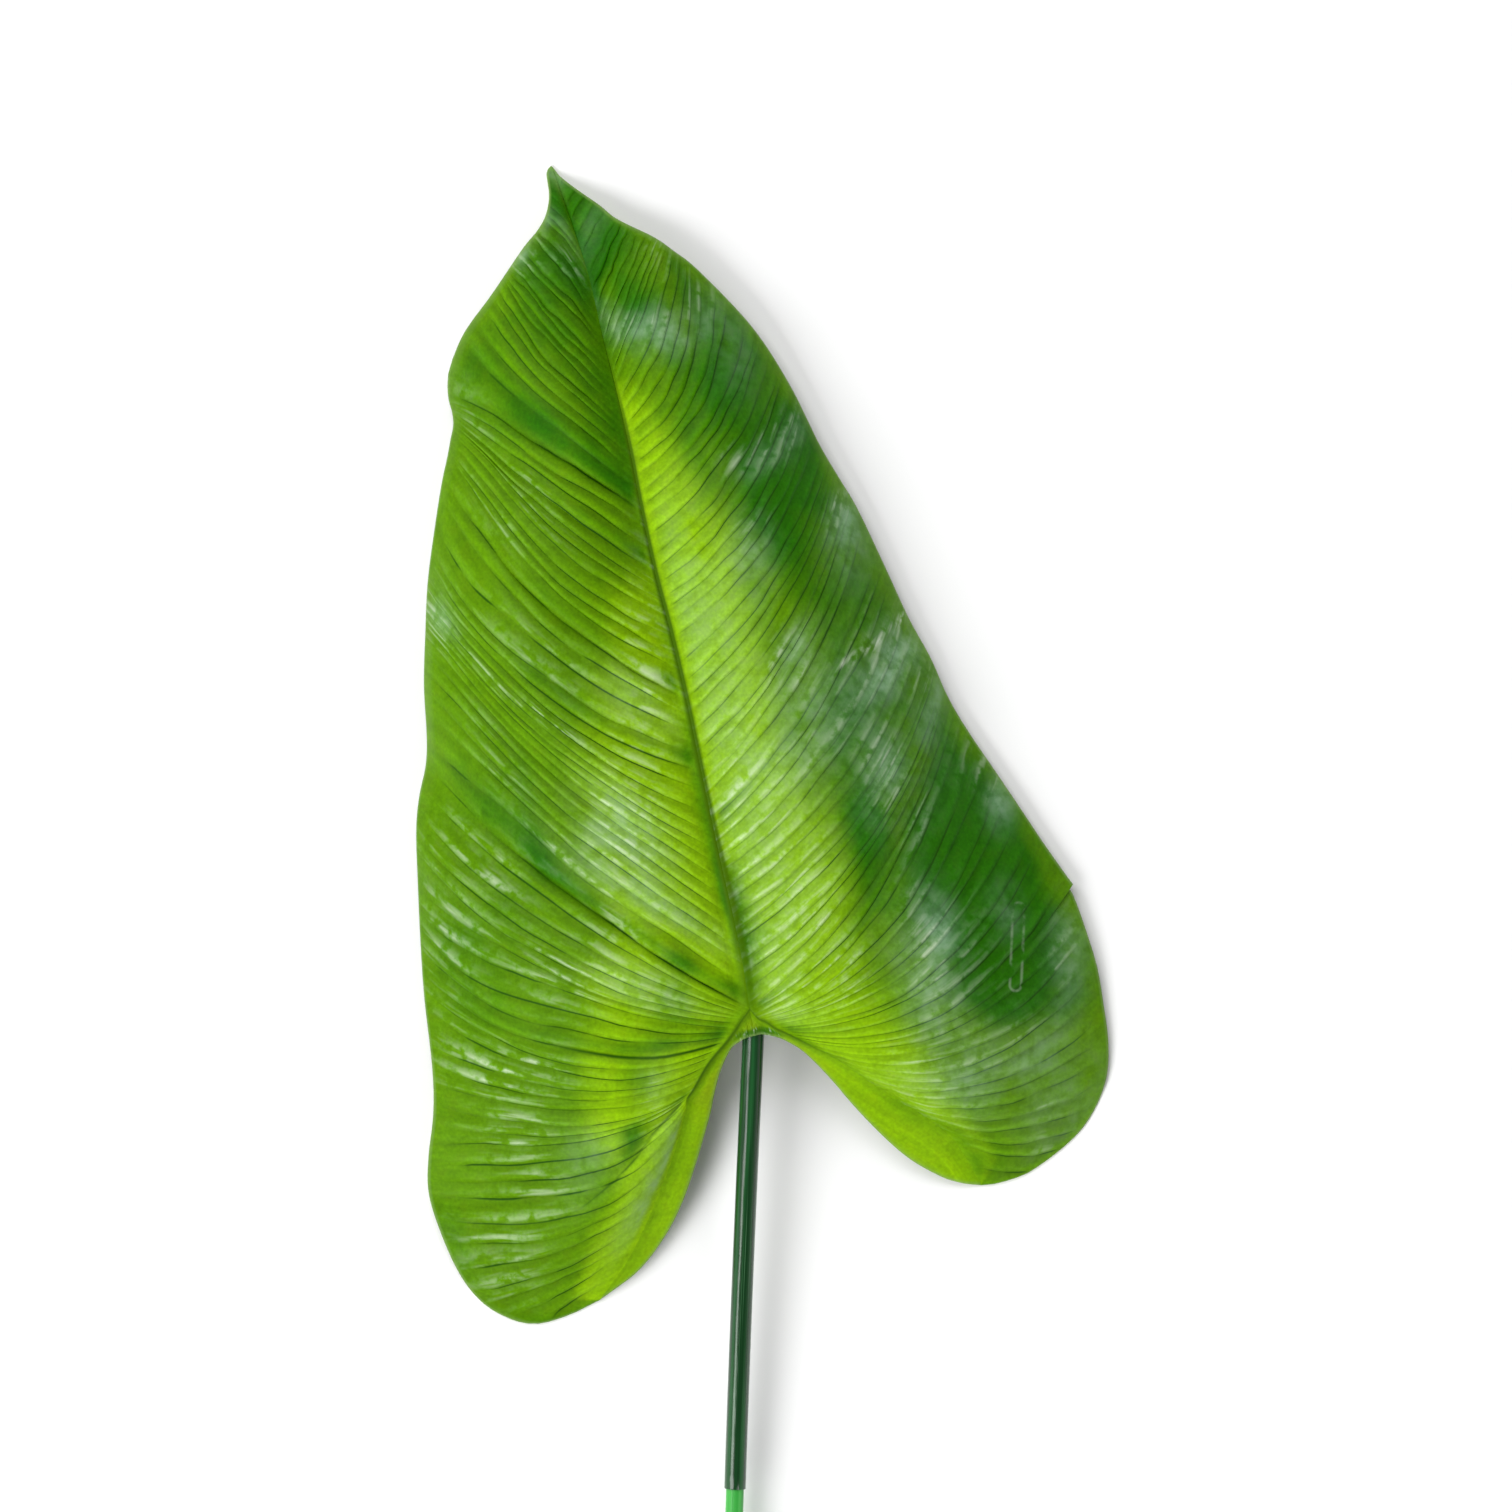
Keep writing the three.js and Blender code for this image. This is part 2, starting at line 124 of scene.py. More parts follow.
@dataclass(frozen=True)
class Line:
    """A smooth line through stations of [vein, x, y, z], or of any values after the first."""

    stations: tuple[tuple[float, ...], ...]

    def values(self, vein: float) -> list[float]:
        """Finds what the line holds at a vein, on a cubic curve between two stations.

        Args:
            vein: The vein's number.

        Returns:
            As many values as each station has after its first.
        """
        rows = self.stations
        last = len(rows) - 1
        k = 0
        while k < last - 1 and vein > rows[k + 1][0]:
            k += 1
        start, end = rows[k], rows[k + 1]
        before, after = rows[max(k - 1, 0)], rows[min(k + 2, last)]
        span = end[0] - start[0]
        u = min(max((vein - start[0]) / span, 0.0), 1.0)
        found = []
        for i in range(1, len(start)):
            leave = span * (end[i] - before[i]) / (end[0] - before[0])
            arrive = span * (after[i] - start[i]) / (after[0] - start[0])
            found.append(
                start[i] * (2 * u**3 - 3 * u**2 + 1)
                + leave * (u**3 - 2 * u**2 + u)
                + end[i] * (3 * u**2 - 2 * u**3)
                + arrive * (u**3 - u**2)
            )
        return found

    def point(self, vein: float) -> Vector:
        """The line's point at a vein, arched as the blade is."""
        x, y, z = self.values(vein)
        return Vector((x, y, ARCH * z))


@dataclass(frozen=True)
class Patch:
    """A soft patch on the blade, of deep green, of painted reflection or of painted highlight and gloss.

    It is centred at a vein and a share of the vein's length, spans so many veins and so much of that length
    each way, and leans by so many veins over the vein's length.
    """

    vein: float
    share: float
    veins: float
    width: float
    strength: float
    lean: float = 0.0

    def at(self, vein: float, share: float) -> float:
        """How strong the patch is at a place."""
        across = (vein - self.vein - self.lean * (share - self.share)) / self.veins
        return self.strength * math.exp(-(across**2) - ((share - self.share) / self.width) ** 2)


def patches(*rows: tuple[float, ...]) -> tuple[Patch, ...]:
    """Patches, each from a row of its numbers."""
    return tuple(Patch(*row) for row in rows)


@dataclass(frozen=True)
class Crease:
    """A crease pressed in along a vein, from one share of its length out to another, or a ridge if under 0.

    Its depth is in millimetres, and it leans by so many veins over a whole vein's length.
    """

    vein: float
    depth: float
    reach: float
    start: float = 0.0
    lean: float = 0.0


@dataclass(frozen=True)
class Half:
    """One half of the blade: the lines that its veins pass through, and how it was pressed and painted.

    Its stations are numbered as on the photographed leaf's finest veins, and pitch is how many of those
    numbers lie between two grooves that are pressed in. Every crease of primary veins has a groove of its
    own. lean gives, for a vein, by how many veins it leans evenly over its length and by how many more
    towards its end. lime and deep give, for a vein, the share of its length where the lime fades out and the
    deep green is full. shades are the patches where the deep green is heavier, painted_reflections the ones
    with a pale painted reflection, and highlights the ones with a painted highlight, where the coat is also
    glossier.
    """

    side: Side
    last_vein: int
    pitch: float
    lobe_rib: Line
    middle: Line
    margin: Line
    sinus: Line
    primaries: tuple[float, ...]
    lean: Line
    lime: Line
    deep: Line
    creases: tuple[Crease, ...]
    folds: tuple[Crease, ...]
    shades: tuple[Patch, ...]
    painted_reflections: tuple[Patch, ...]
    highlights: tuple[Patch, ...]


# By how many veins before its last one a lobe starts to run out, and has run out.
LOBE_END_STARTS = 16
LOBE_END_IS_BARE = 9


def lobe_end(half: Half, number: float) -> float:
    """How near a vein is to the lobe's end, where rib and fine veins have run out: 1 from there on."""
    return smooth(number, half.last_vein - LOBE_END_STARTS, half.last_vein - LOBE_END_IS_BARE)


MIDRIB = Line((
    (0, -77.8, 331.5, 0.4), (4, -71, 312.5, 5), (8, -63.5, 289.5, 10.5), (12, -58, 266, 15),
    (17, -52.5, 244.5, 19.5), (22, -47.5, 222.5, 23), (26.5, -43.5, 201.5, 25.5), (31, -38, 176, 27.5),
    (36, -32, 153, 29.5), (40, -26, 127.5, 30.5), (44, -21.5, 106, 31), (48, -16.5, 82.5, 31.5),
    (52, -12.5, 64, 31.5), (56, -8, 44.5, 31), (60, -4.5, 26.5, 30), (63, -2, 10.5, 29),
))

LEFT_HALF = Half(
    side=Side.LEFT,
    last_vein=101,
    pitch=1.35,
    lobe_rib=Line((
        (63, -2, 10.5, 29), (69, -5.5, 5.5, 28.5), (72, -7.5, 2, 28), (75, -10.5, -2, 27),
        (79, -17.5, -10.5, 25), (83, -23, -20, 23), (87, -25.5, -24, 22), (90, -26.5, -29.5, 21),
        (93, -32, -48.5, 16.5), (95, -38, -64, 12.5), (97, -43.5, -76.5, 9), (99, -50.5, -89.5, 5),
        (101, -59.5, -102, 1.2),
    )),
    middle=Line((
        (0, -77.8, 331.5, 0.4), (4, -74.5, 317.5, 4.7), (8, -72, 302, 9.8), (12, -74, 285.5, 16.5),
        (16.5, -77.5, 264.5, 23), (20, -80, 250.5, 26), (23.5, -80.5, 237.5, 28), (26.5, -79.5, 223.5, 29),
        (31, -77.5, 202.5, 32.5), (36, -78.5, 182, 36), (40, -79.5, 162.5, 37.5), (45.5, -80, 130, 38.5),
        (50, -77, 113.5, 38.5), (54, -76.5, 101, 38.5), (57, -75, 88.5, 39), (60, -74, 75, 39),
        (63, -67.5, 51.5, 37.5), (69, -75.5, 26, 37), (71.5, -73.5, 17, 36), (75, -73.5, -4, 33),
        (79, -68.5, -19, 29.5), (83, -65.5, -32.5, 26.5), (87, -62.5, -43.5, 24.5), (90, -61, -59.5, 22),
        (92.5, -65, -72, 18.5), (95, -69, -84.5, 13.5), (97, -70.5, -93.5, 8), (99, -71.5, -101.5, 3.6),
        (101, -59.5, -102, 1.2),
    )),
    margin=Line((
        (0, -77.8, 331.5, 0.4), (0.5, -79, 330.4, 0.8), (1.2, -79.6, 328.4, 1.4), (2.4, -79.2, 325.2, 2.4),
        (4, -78.6, 320.6, 4), (6, -79, 315.5, 6), (8, -80.5, 310.5, 7.5), (10, -83.5, 305.5, 9),
        (12, -88, 300, 10), (16.5, -100.5, 281.5, 11), (20, -110, 268.5, 10.5), (22, -114, 260.5, 9.5),
        (24, -117, 251.5, 8), (26, -117, 243, 6.5), (28.5, -115.5, 237, 7), (31, -115, 232, 9.5),
        (34, -116, 226, 12.5), (37, -117, 220, 14.5), (40, -119, 210.5, 15.5), (44, -121.5, 195, 15),
        (48, -124.5, 173, 13), (52, -125.5, 153, 12.5), (56, -126, 133, 13), (60, -125, 113, 11.5),
        (63, -125.5, 102.5, 9), (66, -128, 90, 10.5), (69, -129, 77, 12), (71.5, -128.5, 58, 9.5),
        (75, -127.5, 34, 7), (78, -126, 13.5, 8.5), (81, -123, -12, 11), (84, -122.5, -29.5, 11),
        (87, -124.5, -47.5, 8.5), (89.5, -124.5, -60.5, 5.5), (92, -120.5, -74, 7), (94, -114, -89.5, 3.5),
        (96, -106.5, -100.5, 0), (97.5, -97, -107.5, -2.8), (99, -84.5, -111, -2.8), (100, -72, -108, -1),
        (101, -59.5, -102, 1.2),
    )),
    sinus=Line((
        (63, 0, 0, 27), (69, -3.5, -1, 26.5), (72, -6, -2.5, 26), (75, -9, -5, 25), (79, -13, -13.5, 22),
        (83, -15.5, -23, 19), (87, -16.5, -28, 18), (90, -18, -34, 17), (93, -23, -51, 12.5),
        (95, -28, -65, 9.5), (97, -34.5, -77.5, 6.5), (99, -44.5, -90.5, 3.6), (101, -59.5, -102, 1.2),
    )),
    primaries=(0, 9, 18, 27, 31, 40, 46, 54, 63, 69, 75, 83, 90, 96, 101),
    lean=Line((
        (0, 0, 0), (12, 0, 0), (14, -0.6, 0), (18, -3.2, 0), (21, -4, -1), (25, -2, -2.4), (27, 0, -1.4),
        (31, 0, -1), (34, -0.4, -1.8), (38, 0, -1.8), (40, 0, -0.5), (43, 0.5, 1.6), (46, 0.8, 1),
        (50, 1, -1), (55, 0.6, -3), (59, 0.3, -2.6), (63, 0, 0), (68, 0.4, 1.6), (75, 0, 1.4), (84, 0, 0),
        (101, 0, 0),
    )),
    lime=Line((
        (0, -0.4), (13, -0.4), (24, -0.2), (30, 0.08), (34, 0.27), (40, 0.35), (46, 0.44), (54, 0.5),
        (66, 0.48), (78, 0.52), (84, 0.58), (90, 0.5), (96, 0.5), (101, 0.55),
    )),
    deep=Line((
        (0, 1.2), (12, 1.3), (22, 1.35), (26, 1.2), (30, 1.35), (60, 1.3), (66, 1.2), (90, 1.2), (101, 1.1),
    )),
    creases=(
        Crease(27, 0.9, 0.8), Crease(31, 0.5, 0.6), Crease(40, 0.7, 0.75), Crease(45, 0.7, 0.8),
        Crease(63, 0.9, 0.8), Crease(75, 1.2, 0.7),
    ),
    folds=(Crease(86, 1.0, 0.72, lean=9),),
    shades=patches(
        (4, 0.3, 2.5, 0.8, 0.55), (9.5, 0.2, 3.0, 0.5, 0.65, 2), (25.3, 0.4, 1.5, 0.5, 0.35),
        (61.8, 0.75, 1.2, 0.25, 0.3), (72, 0.8, 7.0, 0.26, 0.4), (92, 0.97, 3.0, 0.08, 0.5),
        (18.5, 0.3, 7.0, 0.6, 0.4), (30, 0.7, 5.0, 0.3, 0.12), (99, 0.85, 4.0, 0.2, 0.25),
        (62, 0.3, 0.9, 0.3, 0.2), (72.5, 0.3, 1.6, 0.3, 0.15), (43.6, 0.4, 1.2, 0.3, 0.2),
        (67, 0.18, 6.0, 0.12, 0.5), (22, 0.0, 6.0, 0.2, 0.35), (6, 0.85, 6.0, 0.4, 0.5),
        (15, 0.7, 4.0, 0.5, 0.35), (26, 0.95, 6.0, 0.28, 0.3), (60, 0.6, 8.0, 0.1, 0.25),
        (79, 0.27, 5.0, 0.1, 0.5), (87, 0.33, 2.5, 0.07, 0.45), (57, 0.8, 8.0, 0.3, 0.2),
    ),
    painted_reflections=patches(
        (1, 0.5, 1.2, 0.8, 0.5), (6.8, 0.6, 1.1, 0.5, 0.3), (8, 0.95, 1.5, 0.1, 0.5),
        (13, 0.97, 1.5, 0.06, 0.7), (54, 0.27, 4.2, 0.1, 0.7, 4), (59.5, 0.25, 1.2, 0.2, 0.5, 4),
        (67, 0.26, 2.0, 0.12, 0.35), (80, 0.2, 4.0, 0.05, 0.25), (49, 0.95, 2.4, 0.07, 0.6, 12),
        (42, 0.17, 1.6, 0.1, 0.35), (57, 0.36, 2.5, 0.08, 0.4, 4), (87, 0.5, 3.0, 0.1, 0.3),
        (92.5, 0.06, 4.0, 0.16, 0.75),
    ),
    highlights=patches(
        (13, 0.95, 2.5, 0.14, 0.6, 2), (9.5, 0.4, 1.2, 0.3, 0.35, 3), (29, 0.92, 2.2, 0.12, 0.35),
        (30.6, 0.58, 0.7, 0.09, 0.6), (33.5, 0.55, 1.2, 0.16, 0.4), (38, 0.75, 1.2, 0.14, 0.4),
        (43, 0.5, 1.5, 0.22, 0.35, 2), (47.3, 0.46, 0.9, 0.12, 0.85, 6), (49.3, 0.7, 0.8, 0.13, 0.7),
        (50, 0.95, 3.5, 0.1, 0.7, 12), (54.5, 0.28, 4.5, 0.12, 0.5, 5), (59.5, 0.15, 1.2, 0.1, 0.55, 4),
        (61, 0.52, 0.9, 0.11, 0.6, 6), (58, 0.7, 2.5, 0.1, 0.35, -6), (65, 0.76, 1.2, 0.11, 0.85),
        (67, 0.26, 2.4, 0.12, 0.6), (69.5, 0.58, 2.2, 0.2, 0.55), (71, 0.9, 4.0, 0.1, 0.6, 10),
        (77.5, 0.62, 1.2, 0.12, 0.75), (79.5, 0.8, 1.8, 0.16, 0.9), (80, 0.22, 3.0, 0.035, 0.5),
        (84.5, 0.74, 2.2, 0.1, 0.75), (89, 0.68, 2.2, 0.1, 0.6), (94, 0.82, 2.4, 0.14, 0.8),
        (85, 0.15, 2.2, 0.12, 0.3, 6), (51, 0.25, 6.0, 0.2, 0.8, 80), (39, 0.12, 2.5, 0.08, 0.4),
    ),
)

RIGHT_HALF = Half(
    side=Side.RIGHT,
    last_vein=92,
    pitch=1.12,
    lobe_rib=Line((
        (63, -2, 10.5, 29), (66, 1, 7, 28.8), (69, 4, 5.5, 28.4), (72, 7.5, 3, 28), (75, 12, 1, 27.5),
        (77, 16, -1, 27), (79, 21.5, -4, 26), (81, 31, -9, 24), (83.5, 42, -16.5, 20.5),
        (86, 55.5, -25.5, 15.5), (88, 67.5, -33, 10.5), (90, 77, -42, 5.5), (92, 86.5, -58, 0.8),
    )),
    middle=Line((
        (0, -77.8, 331.5, 0.4), (4, -69, 317.5, 4.7), (8, -58, 301, 9.8), (12, -48.5, 285.5, 15.8),
        (17, -38.5, 272.5, 22), (22, -25.5, 249, 26), (26.5, -15, 228.5, 29), (31, -5.5, 206.5, 31),
        (36, 4, 185, 33), (40, 10.5, 165.5, 34), (44, 16.5, 148, 34.5), (48, 23, 126, 35),
        (52, 31.5, 105.5, 35), (56, 40, 88.5, 35), (60, 45, 73, 34.5), (63, 46.5, 56.5, 34), (67, 55, 38, 33),
        (71, 65, 27.5, 31.5), (75, 72, 9.5, 29.5), (77, 74.5, 2.5, 28.5), (80, 80, -9.5, 25),
        (83.5, 86.5, -22, 20), (86, 93, -31.5, 15), (88, 97, -39, 10), (90, 97.5, -47.5, 5),
        (92, 86.5, -58, 0.8),
    )),
    margin=Line((
        (0, -77.8, 331.5, 0.4), (0.5, -76.7, 330.3, 0.9), (1.2, -75, 328, 1.6), (2.4, -71.4, 324.9, 2.8),
        (4, -66.2, 321, 4.5), (6, -59.4, 316.2, 6.5), (8, -53, 311, 8), (12, -39, 304, 9.5),
        (17, -31, 298.5, 10), (22, -21, 290.5, 10), (26, -1.5, 270, 9.5), (31, 13, 248, 8.5),
        (36, 24.5, 225, 8), (40, 31.5, 213, 7.5), (44, 39, 200.5, 7), (48, 49.5, 178.5, 6.5),
        (52, 58.5, 159, 6), (56, 67, 143.5, 5.5), (60, 72.5, 131, 5), (63, 77, 122.5, 5), (65, 83, 113, 5),
        (67, 90.5, 102, 5), (71, 102, 85, 5), (73, 110, 73, 4.8), (75, 119.5, 59.5, 4.6),
        (75.35, 121.4, 57, 4.6), (75.55, 119.8, 55.9, 4.6), (75.8, 120.9, 54.3, 4.5), (77, 124.5, 45, 4.2),
        (80, 130.5, 26, 3.5), (82, 133, 12, 3), (84, 135, -4, 2.4), (86, 134, -18, 1.4), (88, 128, -32, -0.6),
        (89.5, 119.5, -42, -2.6), (91, 104.5, -53.2, -1.8), (91.5, 96, -56.4, -0.5), (91.8, 91, -57.6, 0.2),
        (92, 86.5, -58, 0.8),
    )),
    sinus=Line((
        (63, 0, 0, 27), (66, 2.5, 0.5, 26.8), (69, 5.5, 0, 26.4), (72, 9.5, -1, 26), (75, 13.5, -3, 25),
        (77, 17.5, -5.5, 24), (79, 22.5, -10, 22), (81, 29.5, -17.5, 19), (83.5, 38, -27.5, 15),
        (86, 49, -39, 10.5), (88, 59.5, -48, 7), (90, 72, -55, 3.4), (91, 79, -57.1, 2.1),
        (91.6, 83, -57.7, 1.3), (92, 86.5, -58, 0.8),
    )),
    primaries=(0, 10, 22, 31, 37, 44, 57, 63, 70, 77, 84, 88, 92),
    lean=Line((
        (0, 0, 0), (8, 0, 0), (13, -1.3, 0), (20, -0.3, 0), (23, 0, 0), (31, -0.7, 0), (38, -1.2, 0),
        (46, -1.4, 0), (52, -0.7, 0), (58, -0.6, 0), (64, -1.4, 0), (70, 0, 0), (76, 0, 0), (84, -0.6, 0),
        (92, 0, 0),
    )),
    lime=Line((
        (0, -0.4), (12, -0.26), (17, 0.12), (21, 0.27), (26, 0.34), (31, 0.45), (37, 0.43), (44, 0.42),
        (50, 0.42), (58, 0.43), (64, 0.45), (72, 0.4), (80, 0.48), (86, 0.4), (92, 0.46),
    )),
    deep=Line((
        (0, 1.3), (14, 1.2), (20, 0.9), (28, 0.62), (36, 0.6), (44, 0.7), (52, 0.7), (58, 0.7), (66, 0.7),
        (74, 0.66), (80, 0.9), (86, 1.3), (92, 1.5),
    )),
    creases=(
        Crease(9, 0.5, 0.7), Crease(22, 0.6, 0.45), Crease(30, 0.5, 0.5), Crease(40, 0.5, 0.5),
        Crease(49, 0.35, 0.6), Crease(65, 0.3, 0.6), Crease(75, 0.5, 0.45),
    ),
    folds=(Crease(48.6, -1.0, 1.3, 0.62, 9.5),),
    shades=patches(
        (4, 0.5, 4.5, 1.2, 0.7), (8, 0.3, 2.0, 0.6, 0.35, 2), (17, 0.62, 3.0, 0.3, 0.3, 4),
        (13, 0.5, 4.0, 0.6, 0.4), (22, 0.5, 5.0, 0.18, 0.5), (90, 0.2, 4.0, 0.4, 0.42),
        (90.5, 0.1, 3.0, 0.25, 0.16), (9, 0.8, 3.0, 0.3, 0.35), (9, 0.0, 4.0, 0.16, 0.6),
        (15, 0.35, 3.0, 0.2, 0.4), (26, 0.35, 4.0, 0.1, 0.3), (57.5, 0.0, 5.0, 0.12, 0.42),
        (79, 0.0, 3.0, 0.1, 0.2), (51, 0.55, 3.0, 0.1, 0.25), (47, 0.42, 4.0, 0.08, 0.2),
        (25, 0.7, 3.5, 0.3, 0.2, 6), (34.5, 0.8, 3.5, 0.3, 0.55, 6), (36, 0.62, 4.0, 0.12, 0.25),
        (59, 0.48, 5.5, 0.09, 0.95), (68, 0.8, 3.5, 0.2, 0.65), (74, 0.75, 5.0, 0.15, 0.95, -8),
    ),
    painted_reflections=patches(
        (1, 0.5, 1.2, 0.8, 0.4), (6.5, 0.5, 1.1, 0.6, 0.2), (13, 0.2, 1.4, 0.16, 0.35, 14),
        (17.5, 0.42, 1.5, 0.18, 0.45, 10), (21, 0.7, 1.2, 0.2, 0.4, 9), (33, 0.8, 1.1, 0.2, 0.4, 9),
        (36, 0.42, 2.5, 0.1, 0.4, 4), (44.5, 0.48, 1.5, 0.07, 0.5, 4), (44.5, 0.9, 2.4, 0.11, 0.9, 6),
        (49, 0.45, 3.0, 0.2, 0.45, 3), (52.3, 0.85, 1.6, 0.16, 0.6, 5), (56.5, 0.62, 3.0, 0.1, 0.6, 2),
        (73, 0.48, 5.0, 0.08, 0.65, -4), (69.5, 0.59, 2.2, 0.06, 1.0, -14), (82, 0.46, 3.0, 0.2, 0.5, -4),
        (80, 0.9, 2.0, 0.08, 0.3, -10), (35, 0.12, 7.0, 0.2, 0.3), (47, 0.14, 8.0, 0.2, 0.3),
        (58, 0.16, 6.0, 0.16, 0.15), (67, 0.04, 4.0, 0.1, 0.3), (53, 0.85, 1.5, 0.16, 0.6, 9.5),
        (87, 0.8, 3.0, 0.2, 0.35), (60, 0.85, 4.0, 0.2, 0.3), (25, 0.85, 3.0, 0.15, 0.25),
        (69, 0.97, 1.2, 0.05, 0.9), (82.5, 0.74, 1.5, 0.1, 0.5), (77.5, 0.93, 1.5, 0.06, 0.5),
        (59.5, 0.94, 1.5, 0.08, 0.5, 4), (72.8, 0.8, 1.2, 0.04, 0.7), (16, 0.35, 1.6, 0.22, 0.3, 14),
    ),
    highlights=patches(
        (13.5, 0.2, 1.6, 0.14, 0.35, 14), (16.5, 0.42, 1.3, 0.2, 0.5, 10), (20.5, 0.75, 1.2, 0.22, 0.4, 9),
        (15, 0.9, 4.0, 0.14, 0.25), (29.3, 0.52, 0.8, 0.06, 0.7, 8), (32.3, 0.78, 1.2, 0.2, 0.65, 9),
        (34.5, 0.46, 1.6, 0.1, 0.4, 6), (43, 0.93, 1.3, 0.08, 0.75, 7), (44, 0.42, 1.3, 0.09, 0.85, 4),
        (46, 0.48, 1.8, 0.1, 0.6, 3), (47.3, 0.14, 0.7, 0.1, 0.6), (50.5, 0.45, 1.6, 0.26, 0.5, 3),
        (51.5, 0.85, 2.0, 0.18, 0.45, 6), (55.5, 0.63, 2.2, 0.08, 0.8), (58.5, 0.62, 2.6, 0.07, 0.55, 3),
        (55, 0.26, 3.0, 0.1, 0.3), (60.5, 0.2, 2.2, 0.1, 0.4), (56.5, 0.93, 1.3, 0.08, 0.45, 7),
        (64.3, 0.72, 0.8, 0.1, 0.5), (66.5, 0.31, 1.6, 0.07, 0.7, -5), (68, 0.58, 1.8, 0.06, 0.8, -14),
        (72, 0.5, 2.4, 0.06, 0.95, -9), (72.5, 0.58, 4.0, 0.12, 0.4), (67, 0.97, 1.5, 0.05, 0.6, 5),
        (66, 0.06, 3.0, 0.04, 0.5), (78.5, 0.38, 2.6, 0.1, 0.5, -10), (80.5, 0.5, 2.4, 0.2, 0.35),
        (80, 0.71, 0.7, 0.06, 0.7), (85, 0.2, 2.6, 0.25, 0.4, -6), (86.5, 0.7, 0.6, 0.07, 0.6),
        (88.8, 0.78, 0.9, 0.1, 0.6), (78, 0.9, 1.6, 0.06, 0.4, -14), (52, 0.14, 9.0, 0.12, 0.6),
        (64, 0.22, 6.0, 0.1, 0.8),
    ),
)


def wander(*place: float) -> float:
    """Smooth noise at a place of three numbers, from -1 to 1, the same on every run.

    The numbers that a caller multiplies by say how fast it changes, and a lone one keeps its noise apart.
    """
    return noise.noise(Vector(place))


@dataclass(frozen=True)
class Spot:
    """A place on the blade: its point on the face, the sheet's depth under it, and what is painted there."""

    point: Vector
    depth: float
    paint: Paint


@dataclass(frozen=True)
class VeinRow:
    """One row of a half's grid, which runs along a vein from its rib to the margin.

    vein counts the grooves before it, and phase how many rows lie between it and the last of them.
    """

    half: Half
    number: float
    vein: int
    phase: int
    root: Vector
    middle: Vector
    edge: Vector
    shares: tuple[float, ...]

    def bare(self, share: float) -> Vector:
        """The point at a share of its length, before any relief, on the parabola through its points."""
        return (
            self.root * ((1 - share) * (1 - 2 * share))
            + self.middle * (4 * share * (1 - share))
            + self.edge * (share * (2 * share - 1))
        )


@dataclass(frozen=True)
class Place:
    """A corner of a half's grid, with all that its relief and its paint depend on.

    spacing is how many millimetres lie between two whole vein numbers there. distance and to_edge are how far
    the rib and the margin are, and strength and width are the rib's. inward is 0 on the rib and 1 clear of
    it, reach is 1 until the veins run out before the margin, and plain is 1 on the lobe's smooth end.
    """

    row: VeinRow
    share: float
    point: Vector
    spacing: float
    distance: float
    to_edge: float
    strength: float
    width: float
    inward: float
    reach: float
    plain: float

    @property
    def by_left_midrib(self) -> bool:
        """Whether it is on the left half, above the lobe."""
        return self.row.half.side is Side.LEFT and self.row.number <= MIDRIB_FOOT

    def noise(self, along: float, scale: float, layer: float) -> float:
        """Noise by a position along the vein. The higher the scale, the less it is like the next vein's."""
        return wander(self.row.vein * scale, along, layer * self.row.half.side.value)


@dataclass(frozen=True)
class Relief:
    """What the mould pressed in at a place: the face's height, and how clear each mark is from 0 to 1.

    crest runs from 0 in a groove to 1 on a swell. crease is the painted shade along a crease, a dark line,
    shadow the painted shade beside it, and ridge is the painted highlight on the back of a fold.
    """

    height: float
    crest: float
    crease: float
    shadow: float
    ridge: float


